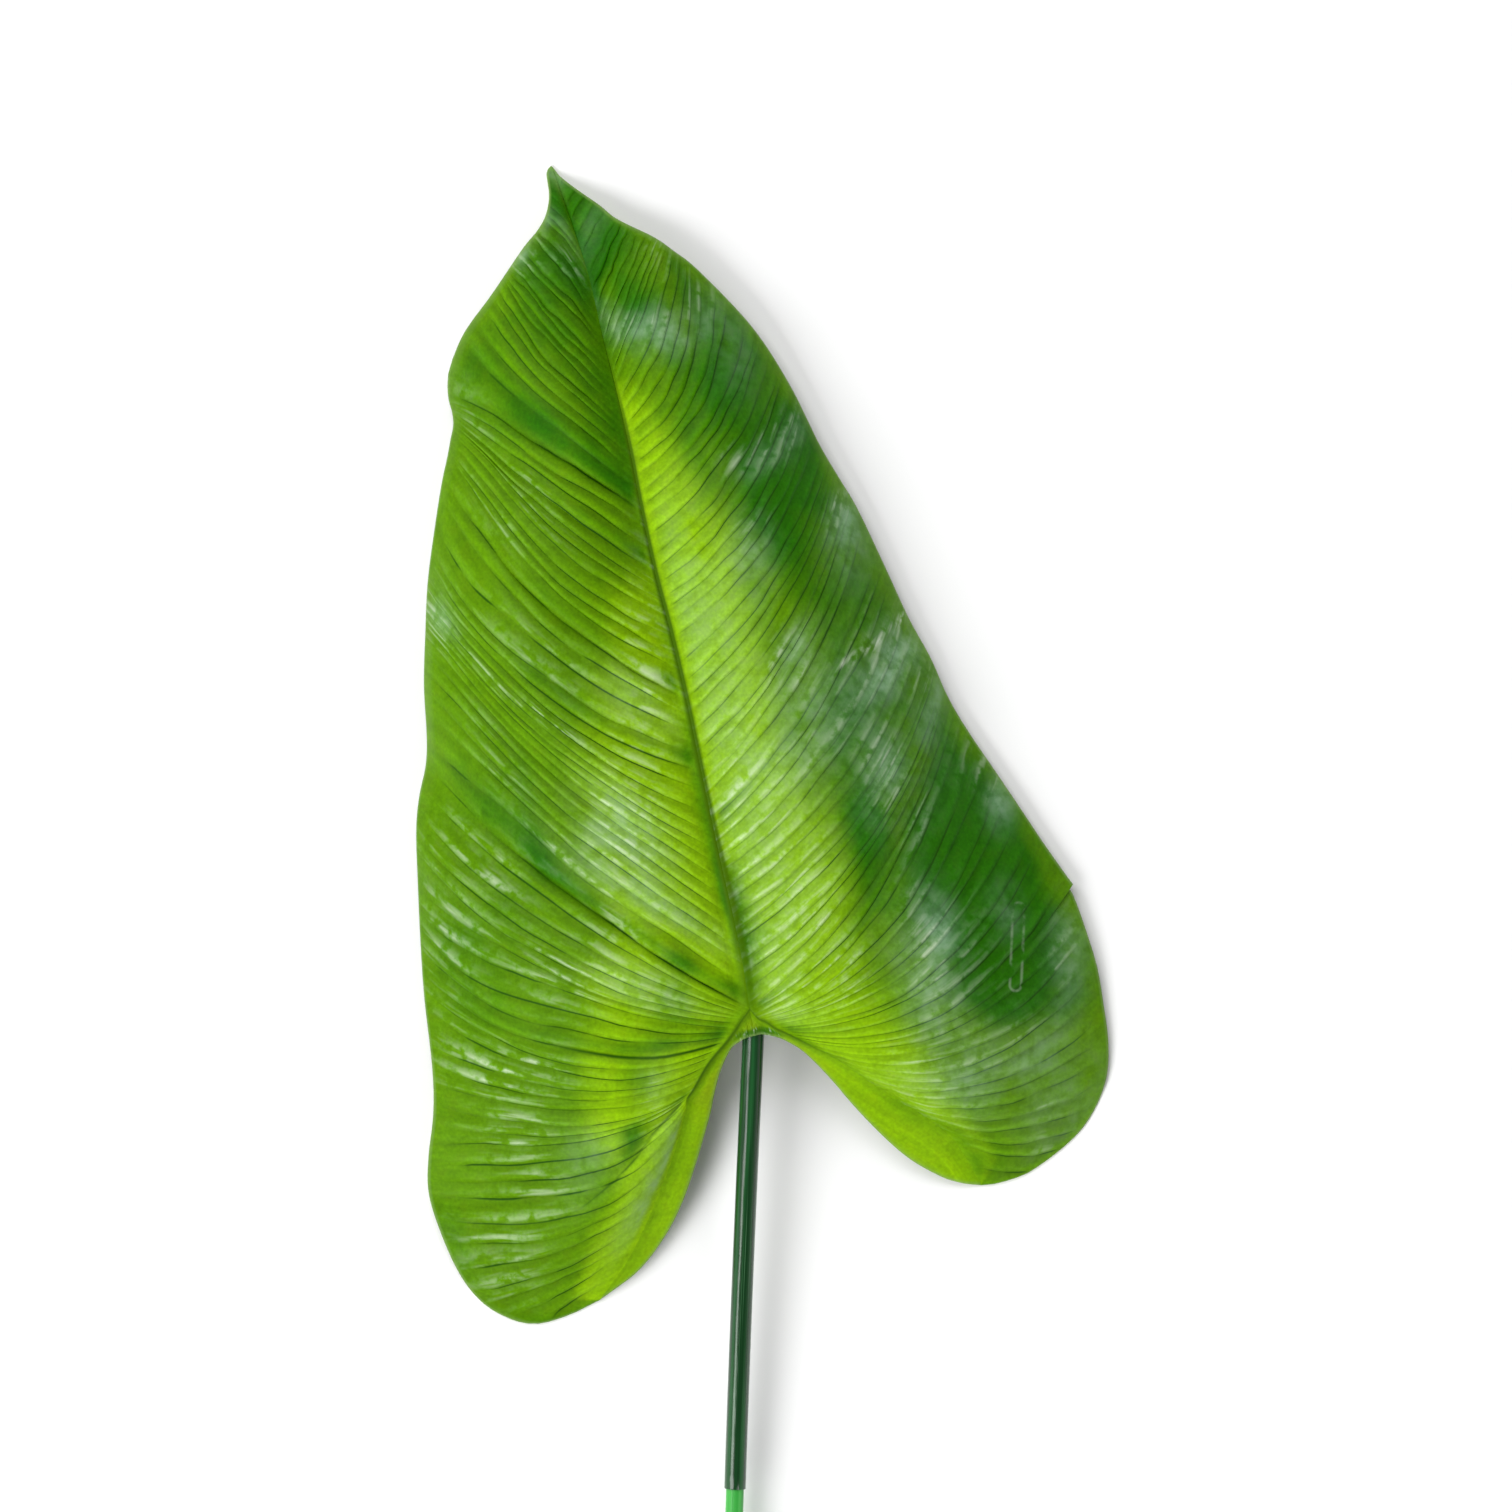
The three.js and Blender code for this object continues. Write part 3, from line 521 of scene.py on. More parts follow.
@dataclass(frozen=True)
class Mould:
    """The relief of the blade's face, in millimetres.

    The sheet swells slowly from one groove and drops steeply into the next, over the rows that phases place
    between them. crests says how high each of these rows lies, for the paint, which lays painted shade in the
    grooves, painted light on the swells and painted highlights on their crests.
    """

    phases: tuple[float, ...] = (0.0, 0.09, 0.3, 0.55, 0.78, 0.92)
    crests: tuple[float, ...] = (0.05, 0.1, 0.25, 0.6, 1.0, 0.6)
    rib_height: float = 1.3
    furrow_depth: float = 0.7
    furrow_at: float = 6.0
    furrow_half_width: float = 2.2
    fine_height: float = 0.13
    fine_skew: float = 1.7
    fine_fullness: float = 0.7
    fine_level: float = 0.6
    fine_widest: float = 8.0
    fine_unevenness: float = 0.8
    fine_uneven_length: float = 30.0
    left_fine_full_at: float = 16.0
    lobe_end_loss: float = 0.8
    pleat_height: float = 1.7
    pleat_full_width: float = 9.0
    pleat_fullness: float = 0.8
    pleat_level: float = 0.5
    wave_height: float = 0.9
    wave_length: float = 38.0
    wave_layer: float = 3.7
    wave_edge: Span = Span(0.5, 9.0)
    wave_over_rib: Span = Span(6, 12, 30, 55)
    crease_half_width: float = 2.6
    crease_fade: float = 0.3
    crease_start_fade: float = 0.05
    crease_line: float = 0.6
    crease_line_half_width: float = 0.9
    crease_shadow_at: float = 4.0
    crease_shadow_half_width: float = 4.0
    ridge_half_width: float = 1.0

    def press(self, place: Place) -> Relief:
        """Works out what the mould pressed in at a place.

        Args:
            place: The place on the blade.

        Returns:
            The relief there.
        """
        row, half = place.row, place.row.half
        uneven = 1.0 + self.fine_unevenness * place.noise(place.distance / self.fine_uneven_length, 0.9, 7.9)
        swell = place.inward
        if place.by_left_midrib:
            swell = smooth(place.distance, place.width, self.left_fine_full_at)
        swell *= 1 - self.lobe_end_loss * place.plain
        plump = math.sin(math.pi * self.phases[row.phase] ** self.fine_skew) ** self.fine_fullness
        spacing = min(place.spacing * half.pitch, self.fine_widest)
        fine = self.fine_height * uneven * spacing * (plump - self.fine_level) * swell * place.reach
        height = place.strength * self.rib_height * bell(place.distance, place.width)
        past_furrow = place.distance - self.furrow_at
        height -= place.strength * self.furrow_depth * bell(past_furrow, self.furrow_half_width)
        rolling = max(place.inward, self.wave_over_rib.at(row.number)) * self.wave_edge.at(place.to_edge)
        height += self._pleat(place) + fine + self._wave(place.point) * rolling
        crease_line = shadow = ridge = 0.0
        for crease in (*half.creases, *half.folds):
            off = (row.number - crease.vein - crease.lean * (place.share - crease.start)) * place.spacing
            hold = self._hold(crease, place)
            height -= crease.depth * bell(off, self.crease_half_width) * hold
            # A crease's dark line and the shade beside it are painted shade, and a fold's ridge gets a
            # painted highlight.
            if crease.depth > 0:
                line = self.crease_line * crease.depth * bell(off, self.crease_line_half_width) * hold
                crease_line = max(crease_line, line)
                shadow = max(shadow, bell(off + self.crease_shadow_at, self.crease_shadow_half_width) * hold)
            else:
                ridge = bell(off, self.ridge_half_width) * hold
        crest = 0.5 + (self.crests[row.phase] - 0.5) * swell * place.reach * min(1.0, uneven)
        return Relief(height, crest, crease_line, shadow, ridge)

    def _hold(self, crease: Crease, place: Place) -> float:
        """How fully a crease is pressed in at a place's share of its length."""
        hold = 1 - smooth(place.share, crease.reach - self.crease_fade, crease.reach)
        if crease.start:
            fade = self.crease_start_fade
            return hold * smooth(place.share, crease.start - fade, crease.start + fade)
        return hold * place.inward

    def _pleat(self, place: Place) -> float:
        """The height of the wide pleats that lie between the primary veins."""
        number, primaries = place.row.number, place.row.half.primaries
        k = 0
        while k < len(primaries) - 2 and number > primaries[k + 1]:
            k += 1
        width = primaries[k + 1] - primaries[k]
        across = (number - primaries[k]) / width
        fullness = max(0.0, math.sin(math.pi * place.share)) ** self.pleat_fullness
        height = self.pleat_height * min(1.0, width / self.pleat_full_width)
        return height * fullness * (math.sin(math.pi * across) - self.pleat_level)

    def _wave(self, point: Vector) -> float:
        """The slow waves that the warm sheet was left with."""
        x, y = point.xy / self.wave_length
        return self.wave_height * wander(x, y, self.wave_layer)


@dataclass(frozen=True)
class Airbrush:
    """What is painted on the blade, as strengths from 0 to 1 that its finish reads: its greens, and painted
    shade, painted highlights and painted reflections.

    A Span is over vein numbers, if its name doesn't say that it is over shares or millimetres.
    """

    line_starts: Span = Span(4, 13)
    line_boldness: tuple[float, float] = (0.75, 0.6)
    line_breaks: tuple[float, float] = (-0.8, -0.2)
    line_breaks_outward: float = 0.5
    left_line: tuple[float, float] = (0.3, 0.7)
    left_line_mm: Span = Span(3.0, 22.0)
    right_line: tuple[float, float] = (0.6, 0.4)
    right_line_share: Span = Span(0.2, 0.45)
    lime_fade: tuple[float, float] = (-0.26, 0.08)
    left_lime: float = 0.91
    deep_share: float = 0.58
    deep_fade: float = 0.3
    deep_edge_loss: float = 0.4
    deep_edge_share: Span = Span(0.9, 1.0)
    # Painted shade: deep green laid in the shade beside the creases and beside the midrib, heavier on the
    # left half.
    crease_shade: float = 0.3
    rib_shade: float = 0.38
    rib_shade_width: float = 8.0
    rib_shade_veins: Span = Span(38, 52, 82, 90)
    left_rib_shade: float = 0.42
    left_rib_shade_veins: Span = Span(26, 34, 54, 62)
    rib_starts: Span = Span(9.0, 24.0)
    rib_line: float = 0.6
    rib_foot_loss: float = 0.45
    rib_foot_veins: float = 6.0
    band_width: tuple[float, float] = (0.95, 0.6)
    band_widens: Span = Span(46, 61)
    band_edge: tuple[float, float] = (0.5, 1.2)
    # The midrib's dark band reaches further on the left, as painted shade of the trough beside it.
    left_band_edge: tuple[float, float] = (0.25, 1.5)
    # A painted highlight along the right edge of the midrib's band.
    rib_highlight: float = 0.25
    rib_highlight_starts: Span = Span(40, 54)
    rib_highlight_at: float = 1.15
    rib_highlight_half_width: float = 0.7
    foot: float = 0.45
    foot_half_width: float = 6.0
    foot_veins: float = 3.0
    strip_foot: Span = Span(65, 71)
    # Where the painted reflections fade out beside the midrib, and the veins near the tip where they don't.
    reflection_mm: Span = Span(2.0, 8.0)
    reflection_over_rib: Span = Span(10, 24)
    # Painted highlights lie on the swells' crests, where the light catches them.
    highlight_crest_power: float = 1.6
    rim_mm: Span = Span(0.2, 1.4)
    # The crinkled lip at the top of the sinus is darker green, with painted highlights on its puckers.
    lip_veins: Span = Span(67, 76)
    lip_mm: Span = Span(1.5, 4.0)
    lip_highlight: Span = Span(0.05, 0.3)

    def face(self, place: Place, relief: Relief, crest: float) -> Paint:
        """Paints a place on a half.

        Args:
            place: The place on the blade.
            relief: What the mould pressed in there.
            crest: How high the place's row lies between two grooves, from 0 to 1.

        Returns:
            The strength of each paint, and the place along and across the veins.
        """
        half, number, share = place.row.half, place.row.number, place.share

        def painted(patches_here: Iterable[Patch]) -> float:
            """How strong a set of patches is here."""
            return min(1.0, sum(patch.at(number, share) for patch in patches_here))

        lime_end, deep_end = half.lime.values(number)[0], half.deep.values(number)[0]
        lime = 1 - smooth(share, lime_end + self.lime_fade[0], lime_end + self.lime_fade[1])
        deep = self.deep_share * smooth(share, deep_end - self.deep_fade, deep_end) + painted(half.shades)
        # Painted shade: more deep green beside the creases and the midrib.
        beside_rib = bell(place.distance, self.rib_shade_width)
        deep += self.crease_shade * relief.shadow
        deep += self.rib_shade * self.rib_shade_veins.at(number) * beside_rib
        if place.by_left_midrib:
            lime *= self.left_lime
            deep += self.left_rib_shade * self.left_rib_shade_veins.at(number) * beside_rib
        rib, rib_highlight = self._rib(place)
        # Painted reflections, kept off the midrib except near the tip.
        reflection_fade = max(self.reflection_mm.at(place.distance), 1 - self.reflection_over_rib.at(number))
        return {
            "lime": lime,
            "deep": deep * (1 - self.deep_edge_loss * self.deep_edge_share.at(share)),
            "cloud": painted(half.painted_reflections) * reflection_fade,
            # Painted highlights on the crests, on a fold's ridge and beside the midrib; they also make the
            # coat glossier.
            "bloom": min(1.0, painted(half.highlights) * crest**self.highlight_crest_power + relief.ridge + rib_highlight),
            "crest": relief.crest,
            "furrow": min(1.0, max(self._vein_line(place), relief.crease)),
            "rib": rib,
            "rim": 1 - self.rim_mm.at(place.to_edge),
            "flow": Vector((number * half.side.value, place.distance, half.side.value)),
        }

    def _vein_line(self, place: Place) -> float:
        """How strong the groove's dark line is, partly vein colour and partly painted shade, broken here and
        there.
        """
        row, share = place.row, place.share
        if row.phase:
            return 0.0
        least, more = self.line_boldness
        bold = (least + more * place.noise(share * 2.0, 2.3, 5.7)) * self.line_starts.at(row.number)
        gone, whole = (limit + self.line_breaks_outward * share for limit in self.line_breaks)
        bold *= place.inward * place.reach * (1 - place.plain)
        bold *= smooth(place.noise(place.distance / 13.0, 0.8, 1.3), gone, whole)
        if place.by_left_midrib:
            return bold * (self.left_line[0] + self.left_line[1] * self.left_line_mm.at(place.distance))
        if row.half.side is Side.RIGHT:
            return bold * (self.right_line[0] + self.right_line[1] * self.right_line_share.at(share))
        return bold

    def _rib(self, place: Place) -> tuple[float, float]:
        """How strong the rib's dark line is at a place, and how strong the painted highlight beside the
        midrib.
        """
        number, distance = place.row.number, place.distance
        past_foot = number - MIDRIB_FOOT
        seen = self.rib_starts.at(number) * (1 - lobe_end(place.row.half, number))
        seen *= 1 - self.rib_foot_loss * bell(past_foot, self.rib_foot_veins)
        rib = seen * bell(distance, self.rib_line * place.width)
        rib_highlight = 0.0
        if number <= MIDRIB_FOOT:
            band = place.width * (self.band_width[0] + self.band_width[1] * self.band_widens.at(number))
            inner, outer = self.left_band_edge if place.by_left_midrib else self.band_edge
            rib = seen * (1 - smooth(distance, inner * band, outer * band))
            if not place.by_left_midrib:
                ramp = self.rib_highlight * self.rib_highlight_starts.at(number)
                rib_highlight = ramp * bell(distance - self.rib_highlight_at * band, self.rib_highlight_half_width)
        foot = self.foot * bell(distance, self.foot_half_width) * bell(past_foot, self.foot_veins)
        return max(rib, foot), rib_highlight

    def strip(self, row: VeinRow, along: float, to_edge: float, width: float, pucker: float) -> Paint:
        """Paints a place on the strip between a lobe's rib and the sinus.

        Args:
            row: The row that it lies on.
            along: How far it is from the rib.
            to_edge: How far it is from the sinus.
            width: The rib's half width.
            pucker: How far the lip is crinkled up, from -1 to 1.

        Returns:
            The strength of each paint, and the place along and across the strip.
        """
        number = row.number
        fading = 1 - lobe_end(row.half, number)
        lip = (1 - self.lip_veins.at(number)) * (1 - self.lip_mm.at(to_edge))
        rib = fading * bell(along, self.rib_line * width)
        return {
            "lime": 1.0,
            "crest": 0.5,
            # Painted shade beside the lobe's rib, and painted highlights on the lip's puckers.
            "deep": lip + self.rib_shade * bell(along, self.rib_shade_width),
            "bloom": lip * self.lip_highlight.at(pucker),
            "rib": max(rib, self.foot * (1 - self.strip_foot.at(number))),
            "rim": 1 - self.rim_mm.at(to_edge),
            "strip": (1 - lip) * fading * smooth(along, width, 2.5 * width),
            "flow": Vector((along * 0.3, number * 2.5, 3 * row.half.side.value)),
        }


@dataclass
class Blade:
    """The moulded blade, with the rib and the socket at its back.

    Each half is a grid whose rows run along its veins, several to each. The last columns before the margin
    turn its edge round. Columns are in millimetres from the rib or from the edge, and the socket's outline is
    of radius and y.
    """

    mould: Mould = Mould()
    airbrush: Airbrush = Airbrush()
    thickness: float = 1.0
    rib_half_width: float = 2.2
    rib_thinnest: float = 0.45
    rib_taper: float = 0.7
    rib_starts: Span = Span(3, 15)
    back_rib_depth: float = 3.2
    back_rib_half_width: float = 3.1
    vein_ends: Span = Span(0.86, 0.99)
    plain_share: Span = Span(0.1, 0.45)
    clear_of_rib: tuple[float, float] = (0.6, 3.0)
    stray: float = 0.5
    sway: float = 0.35
    sway_share: Span = Span(0.0, 0.2)
    sway_starts: Span = Span(2, 12)
    sway_ends: Span = Span(0, 4)
    curl_share: Span = Span(0.4, 1.0)
    pucker: float = 0.5
    pucker_veins: Span = Span(68, 80)
    pucker_mm: Span = Span(1.0, 5.0)
    socket: tuple[tuple[float, float], ...] = (
        (0, 30), (2.2, 29.6), (3.2, 28), (4.4, 24), (5.1, 20), (5.4, 16), (5.4, 9), (5.4, 2.2), (5.1, 1.5),
        (4.4, 1.5), (4.4, 8), (4.4, 14), (4.4, 20.5), (0, 20.5),
    )
    socket_sides: int = 40
    edge_radius: float = 0.5
    edge_least: float = 0.12
    rib_columns: tuple[float, ...] = (0.0, 0.5, 1.0, 1.6, 2.4, 3.4, 4.8, 6.4, 8.5)
    edge_columns: tuple[float, ...] = (1.1, 0.5, 0.22, 0.06, 0.0)
    rib_columns_share: float = 0.3
    edge_columns_share: float = 0.15
    open_columns: int = 25
    strip_columns: int = 4
    strip_rib_share: float = 0.45
    strip_edge_share: float = 0.2

    def build(self) -> bpy.types.Object:
        """Builds the blade's object.

        Returns:
            The object, in place, with its paint as attributes.
        """
        bm = bmesh.new()
        layers = {name: bm.verts.layers.float.new(name) for name in (*PAINTS, "back", "depth")}
        layers["flow"] = bm.verts.layers.float_vector.new("flow")
        for half in (LEFT_HALF, RIGHT_HALF):
            rows = self._rows(half)
            self._grid(bm, layers, len(rows), len(rows[0].shares), lambda r, c: self._face_spot(rows, r, c))
            strip = [row for row in rows if row.number >= MIDRIB_FOOT]
            count = len(self.rib_columns) + self.strip_columns + len(self.edge_columns)
            self._grid(bm, layers, len(strip), count, lambda r, c: self._strip_spot(strip[r], c, count))
        bmesh.ops.remove_doubles(bm, verts=bm.verts, dist=self.thickness * 0.002)
        self._thicken(bm, layers)
        self._add_socket(bm, layers)
        bm.verts.layers.float.remove(layers["depth"])
        bmesh.ops.recalc_face_normals(bm, faces=bm.faces)
        return finish_mesh(bm, "taro_blade")

    def _rows(self, half: Half) -> list[VeinRow]:
        """The rows of a half, with its grooves spread evenly between its creases."""
        creases = {float(crease.vein) for crease in half.creases}
        stops = sorted({0.0, MIDRIB_FOOT, float(half.last_vein)} | creases)
        grooves = [0.0]
        for start, stop in zip(stops, stops[1:]):
            count = max(1, round((stop - start) / half.pitch))
            for k in range(1, count):
                stray = self.stray * wander(len(grooves) * 1.7, 3.3, 4.1 * half.side.value)
                grooves.append(start + (stop - start) * (k + stray) / count)
            grooves.append(stop)
        rows = [
            self._row(half, start + (stop - start) * share, vein, phase)
            for vein, (start, stop) in enumerate(zip(grooves, grooves[1:]))
            for phase, share in enumerate(self.mould.phases)
        ]
        rows.append(self._row(half, half.last_vein, len(grooves) - 1))
        return rows

    def _row(self, half: Half, number: float, vein: int = 0, phase: int = 0) -> VeinRow:
        """A row of a half, at a vein's number."""
        root = (MIDRIB if number <= MIDRIB_FOOT else half.lobe_rib).point(number)
        middle, edge = half.middle.point(number), half.margin.point(number)
        length = max((middle - root).length + (edge - middle).length, 1e-3)
        near = min(1.0, self.rib_columns_share * length / self.rib_columns[-1]) / length
        far = min(1.0, self.edge_columns_share * length / self.edge_columns[0]) / length
        shares = [column * near for column in self.rib_columns]
        start, stop = shares[-1], 1 - self.edge_columns[0] * far
        for k in range(1, self.open_columns):
            shares.append(start + (stop - start) * k / self.open_columns)
        shares += [1 - column * far for column in self.edge_columns]
        return VeinRow(half, number, vein, phase, root, middle, edge, tuple(shares))

    def _grid(
        self,
        bm: bmesh.types.BMesh,
        layers: Mapping[str, bmesh.types.BMLayerItem],
        rows: int,
        columns: int,
        spot: Callable[[int, int], Spot],
    ) -> None:
        """Adds a grid and lays each of its corners on its spot."""
        made = bmesh.ops.create_grid(bm, x_segments=columns - 1, y_segments=rows - 1, size=0.5)
        for vertex in made["verts"]:
            column = round((vertex.co.x + 0.5) * (columns - 1))
            row = round((vertex.co.y + 0.5) * (rows - 1))
            found = spot(row, column)
            vertex.co = found.point
            vertex[layers["depth"]] = found.depth
            for name, value in found.paint.items():
                vertex[layers[name]] = value

    def _rib_size(self, half: Half, number: float) -> tuple[float, float]:
        """How stout the rib is at a vein, full at the junction and 0 at either end, and its half width."""
        to_tip = number / MIDRIB_FOOT
        to_lobe = (half.last_vein - number) / (half.last_vein - MIDRIB_FOOT)
        strength = max(0.0, min(1.0, to_tip, to_lobe)) ** self.rib_taper * self.rib_starts.at(number)
        return strength, self.rib_half_width * (self.rib_thinnest + (1 - self.rib_thinnest) * strength)

    def _edge_cut(self, to_edge: float) -> float:
        """How much the sheet loses on each side where its edge is rounded."""
        lack = 1 - min(to_edge, self.edge_radius) / self.edge_radius
        half = self.thickness / 2
        return half - max(half * math.sqrt(max(0.0, 1 - lack**2)), self.edge_least)

    def _spot(self, point: Vector, strength: float, distance: float, to_edge: float, paint: Paint) -> Spot:
        """A spot of the sheet, bent flat where it would reach below the surface that the leaf lies on.

        Args:
            point: Its point on the face, with all relief.
            strength: How stout the rib is, which also stands out of the back.
            distance: How far the spot is from the rib.
            to_edge: How far it is from the edge, which is round.
            paint: What is painted there.

        Returns:
            The spot.
        """
        rib_depth = self.back_rib_depth * strength * bell(distance, self.back_rib_half_width)
        height = max(point.z, self.thickness)
        back = max(height - self.thickness - rib_depth, 0.0)
        cut = self._edge_cut(to_edge)
        return Spot(Vector((point.x, point.y, height - cut)), height - back - 2 * cut, paint)

    def _leaning(self, row: VeinRow, share: float) -> float:
        """By how many veins a row has strayed from its own at a share, as it leans and sways."""
        lean, curl = row.half.lean.values(row.number)
        side = row.half.side.value
        before, after = (
            wander((row.vein + k) * 1.3, share * 3.5, 2.2 * side)
            + 0.35 * wander((row.vein + k) * 1.3, share * 10.0, 6.4 * side)
            for k in (0, 1)
        )
        sway = before + (after - before) * self.mould.phases[row.phase]
        to_end = row.half.last_vein - row.number
        ends = self.sway_starts.at(row.number) * self.sway_ends.at(to_end) * self.sway_share.at(share)
        return lean * share + curl * self.curl_share.at(share) + self.sway * sway * ends

    def _face_spot(self, rows: Sequence[VeinRow], r: int, c: int) -> Spot:
        """The spot at a row and a column of a half, with the relief and the paint of that place."""
        row = rows[r]
        half, share, number = row.half, row.shares[c], row.number
        vein = min(max(number + self._leaning(row, share), 0.0), half.last_vein)
        here = self._row(half, vein) if abs(vein - number) > 1e-6 else row
        point = here.bare(share)
        beside = rows[r - 1] if r > 0 else rows[r + 1]
        spacing = (row.bare(share) - beside.bare(share)).length / max(abs(row.number - beside.number), 1e-6)
        distance, to_edge = flat_distance(point, here.root), flat_distance(point, here.edge)
        strength, width = self._rib_size(half, number)
        inward = smooth(distance, self.clear_of_rib[0] * width, self.clear_of_rib[1] * width)
        plain = lobe_end(half, number) * (1 - self.plain_share.at(share))
        reach = 1 - self.vein_ends.at(share)
        place = Place(row, share, point, spacing, distance, to_edge, strength, width, inward, reach, plain)
        relief = self.mould.press(place)
        paint = self.airbrush.face(place, relief, self.mould.crests[row.phase])
        return self._spot(point + Vector((0, 0, relief.height)), strength, distance, to_edge, paint)

    def _strip_spot(self, row: VeinRow, c: int, count: int) -> Spot:
        """The spot at a row and a column of the strip between a lobe's rib and the sinus."""
        half, number = row.half, row.number
        edge = half.sinus.point(number)
        length = max(flat_distance(row.root, edge), 1e-3)
        near = min(1.0, self.strip_rib_share * length / self.rib_columns[-1])
        far = min(1.0, self.strip_edge_share * length / self.edge_columns[0])
        first = len(self.rib_columns)
        last = count - len(self.edge_columns)
        if c < first:
            along = self.rib_columns[c] * near
        elif c >= last:
            along = length - self.edge_columns[c - last] * far
        else:
            start, stop = self.rib_columns[-1] * near, length - self.edge_columns[0] * far
            along = start + (stop - start) * (c - first + 1) / (self.strip_columns + 1)
        point = row.root.lerp(edge, along / length)
        strength, width = self._rib_size(half, number)
        point.z += strength * self.mould.rib_height * bell(along, width)
        pucker = wander(number * 1.4, along * 0.25, 5.1) * (1 - self.pucker_veins.at(number))
        point.z += self.pucker * pucker * self.pucker_mm.at(along)
        paint = self.airbrush.strip(row, along, length - along, width, pucker)
        return self._spot(point, strength, along, length - along, paint)

    def _thicken(self, bm: bmesh.types.BMesh, layers: Mapping[str, bmesh.types.BMLayerItem]) -> None:
        """Gives the open sheet its back and its rim."""
        made = bmesh.ops.extrude_face_region(bm, geom=bm.faces[:], use_keep_orig=True)
        for vertex in made["geom"]:
            if isinstance(vertex, bmesh.types.BMVert):
                vertex.co.z -= vertex[layers["depth"]]
                vertex[layers["back"]] = 1.0

    def _add_socket(self, bm: bmesh.types.BMesh, layers: Mapping[str, bmesh.types.BMLayerItem]) -> None:
        """Adds the boss at the back of the junction, with the bore that the stem is pushed into."""
        corners = turned(bm, self.socket, self.socket_sides)
        for vertex in corners:
            vertex[layers["back"]] = 1.0
        bend_along_stem(corners)


def turned(
    bm: bmesh.types.BMesh, outline: Sequence[tuple[float, float]], sides: int
) -> list[bmesh.types.BMVert]:
    """Adds a form turned round the Y axis.

    Args:
        bm: The mesh that it is added to.
        outline: Its points of radius and y, which end on the axis or where they began.
        sides: How many sides it has.

    Returns:
        The corners of the form.
    """
    known = set(bm.verts)
    points = [bm.verts.new((radius, y, 0.0)) for radius, y in outline]
    edges = [bm.edges.new(pair) for pair in zip(points, points[1:])]
    around = {"cent": (0, 0, 0), "axis": (0, 1, 0), "angle": 2 * math.pi}
    bmesh.ops.spin(bm, geom=points + edges, steps=sides, use_merge=True, **around)
    bmesh.ops.remove_doubles(bm, verts=[vertex for vertex in bm.verts if vertex not in known], dist=0.001)
    return [vertex for vertex in bm.verts if vertex not in known]


def placed(bm: bmesh.types.BMesh) -> None:
    """Takes a mesh from millimetres round the junction to the frame's metres."""
    bmesh.ops.transform(bm, matrix=Matrix.Translation(junction()) @ Matrix.Scale(MM, 4), verts=bm.verts)


def finish_mesh(bm: bmesh.types.BMesh, name: str, sharp: float = 50.0) -> bpy.types.Object:
    """Turns a mesh in millimetres round the junction to an object in the frame.

    Args:
        bm: The mesh, which is freed.
        name: The object's name.
        sharp: The angle in degrees past which an edge stays sharp.

    Returns:
        The object, linked to the scene, at the origin.
    """
    placed(bm)
    mesh = bpy.data.meshes.new(name)
    bm.to_mesh(mesh)
    bm.free()
    mesh.shade_smooth()
    mesh.set_sharp_from_angle(angle=math.radians(sharp))
    piece = bpy.data.objects.new(name, mesh)
    bpy.context.scene.collection.objects.link(piece)
    return piece


STEM_AXIS = Line((
    (-400, -13, 3.3), (-290, -10.6, 6.5), (-173, -7.6, 13.6), (-85, -4.4, 20.5), (0, -0.6, 28),
    (24, 0.4, 30), (32, 0.7, 30.7),
))


def bend_along_stem(corners: Sequence[bmesh.types.BMVert]) -> None:
    """Bends a form turned round the Y axis along the stem's axis, and rests it on the surface."""
    for vertex in corners:
        x, y, z = vertex.co
        ahead, behind = STEM_AXIS.values(y + 1.0), STEM_AXIS.values(y - 1.0)
        tangent = Vector((ahead[0] - behind[0], 2.0, ahead[1] - behind[1])).normalized()
        side = Vector((1, 0, 0)) - tangent * tangent.x
        side.normalize()
        up = side.cross(tangent)
        middle = STEM_AXIS.values(y)
        vertex.co = Vector((middle[0], y, middle[1])) + side * x + up * z
        vertex.co.z = max(vertex.co.z, 0.0)


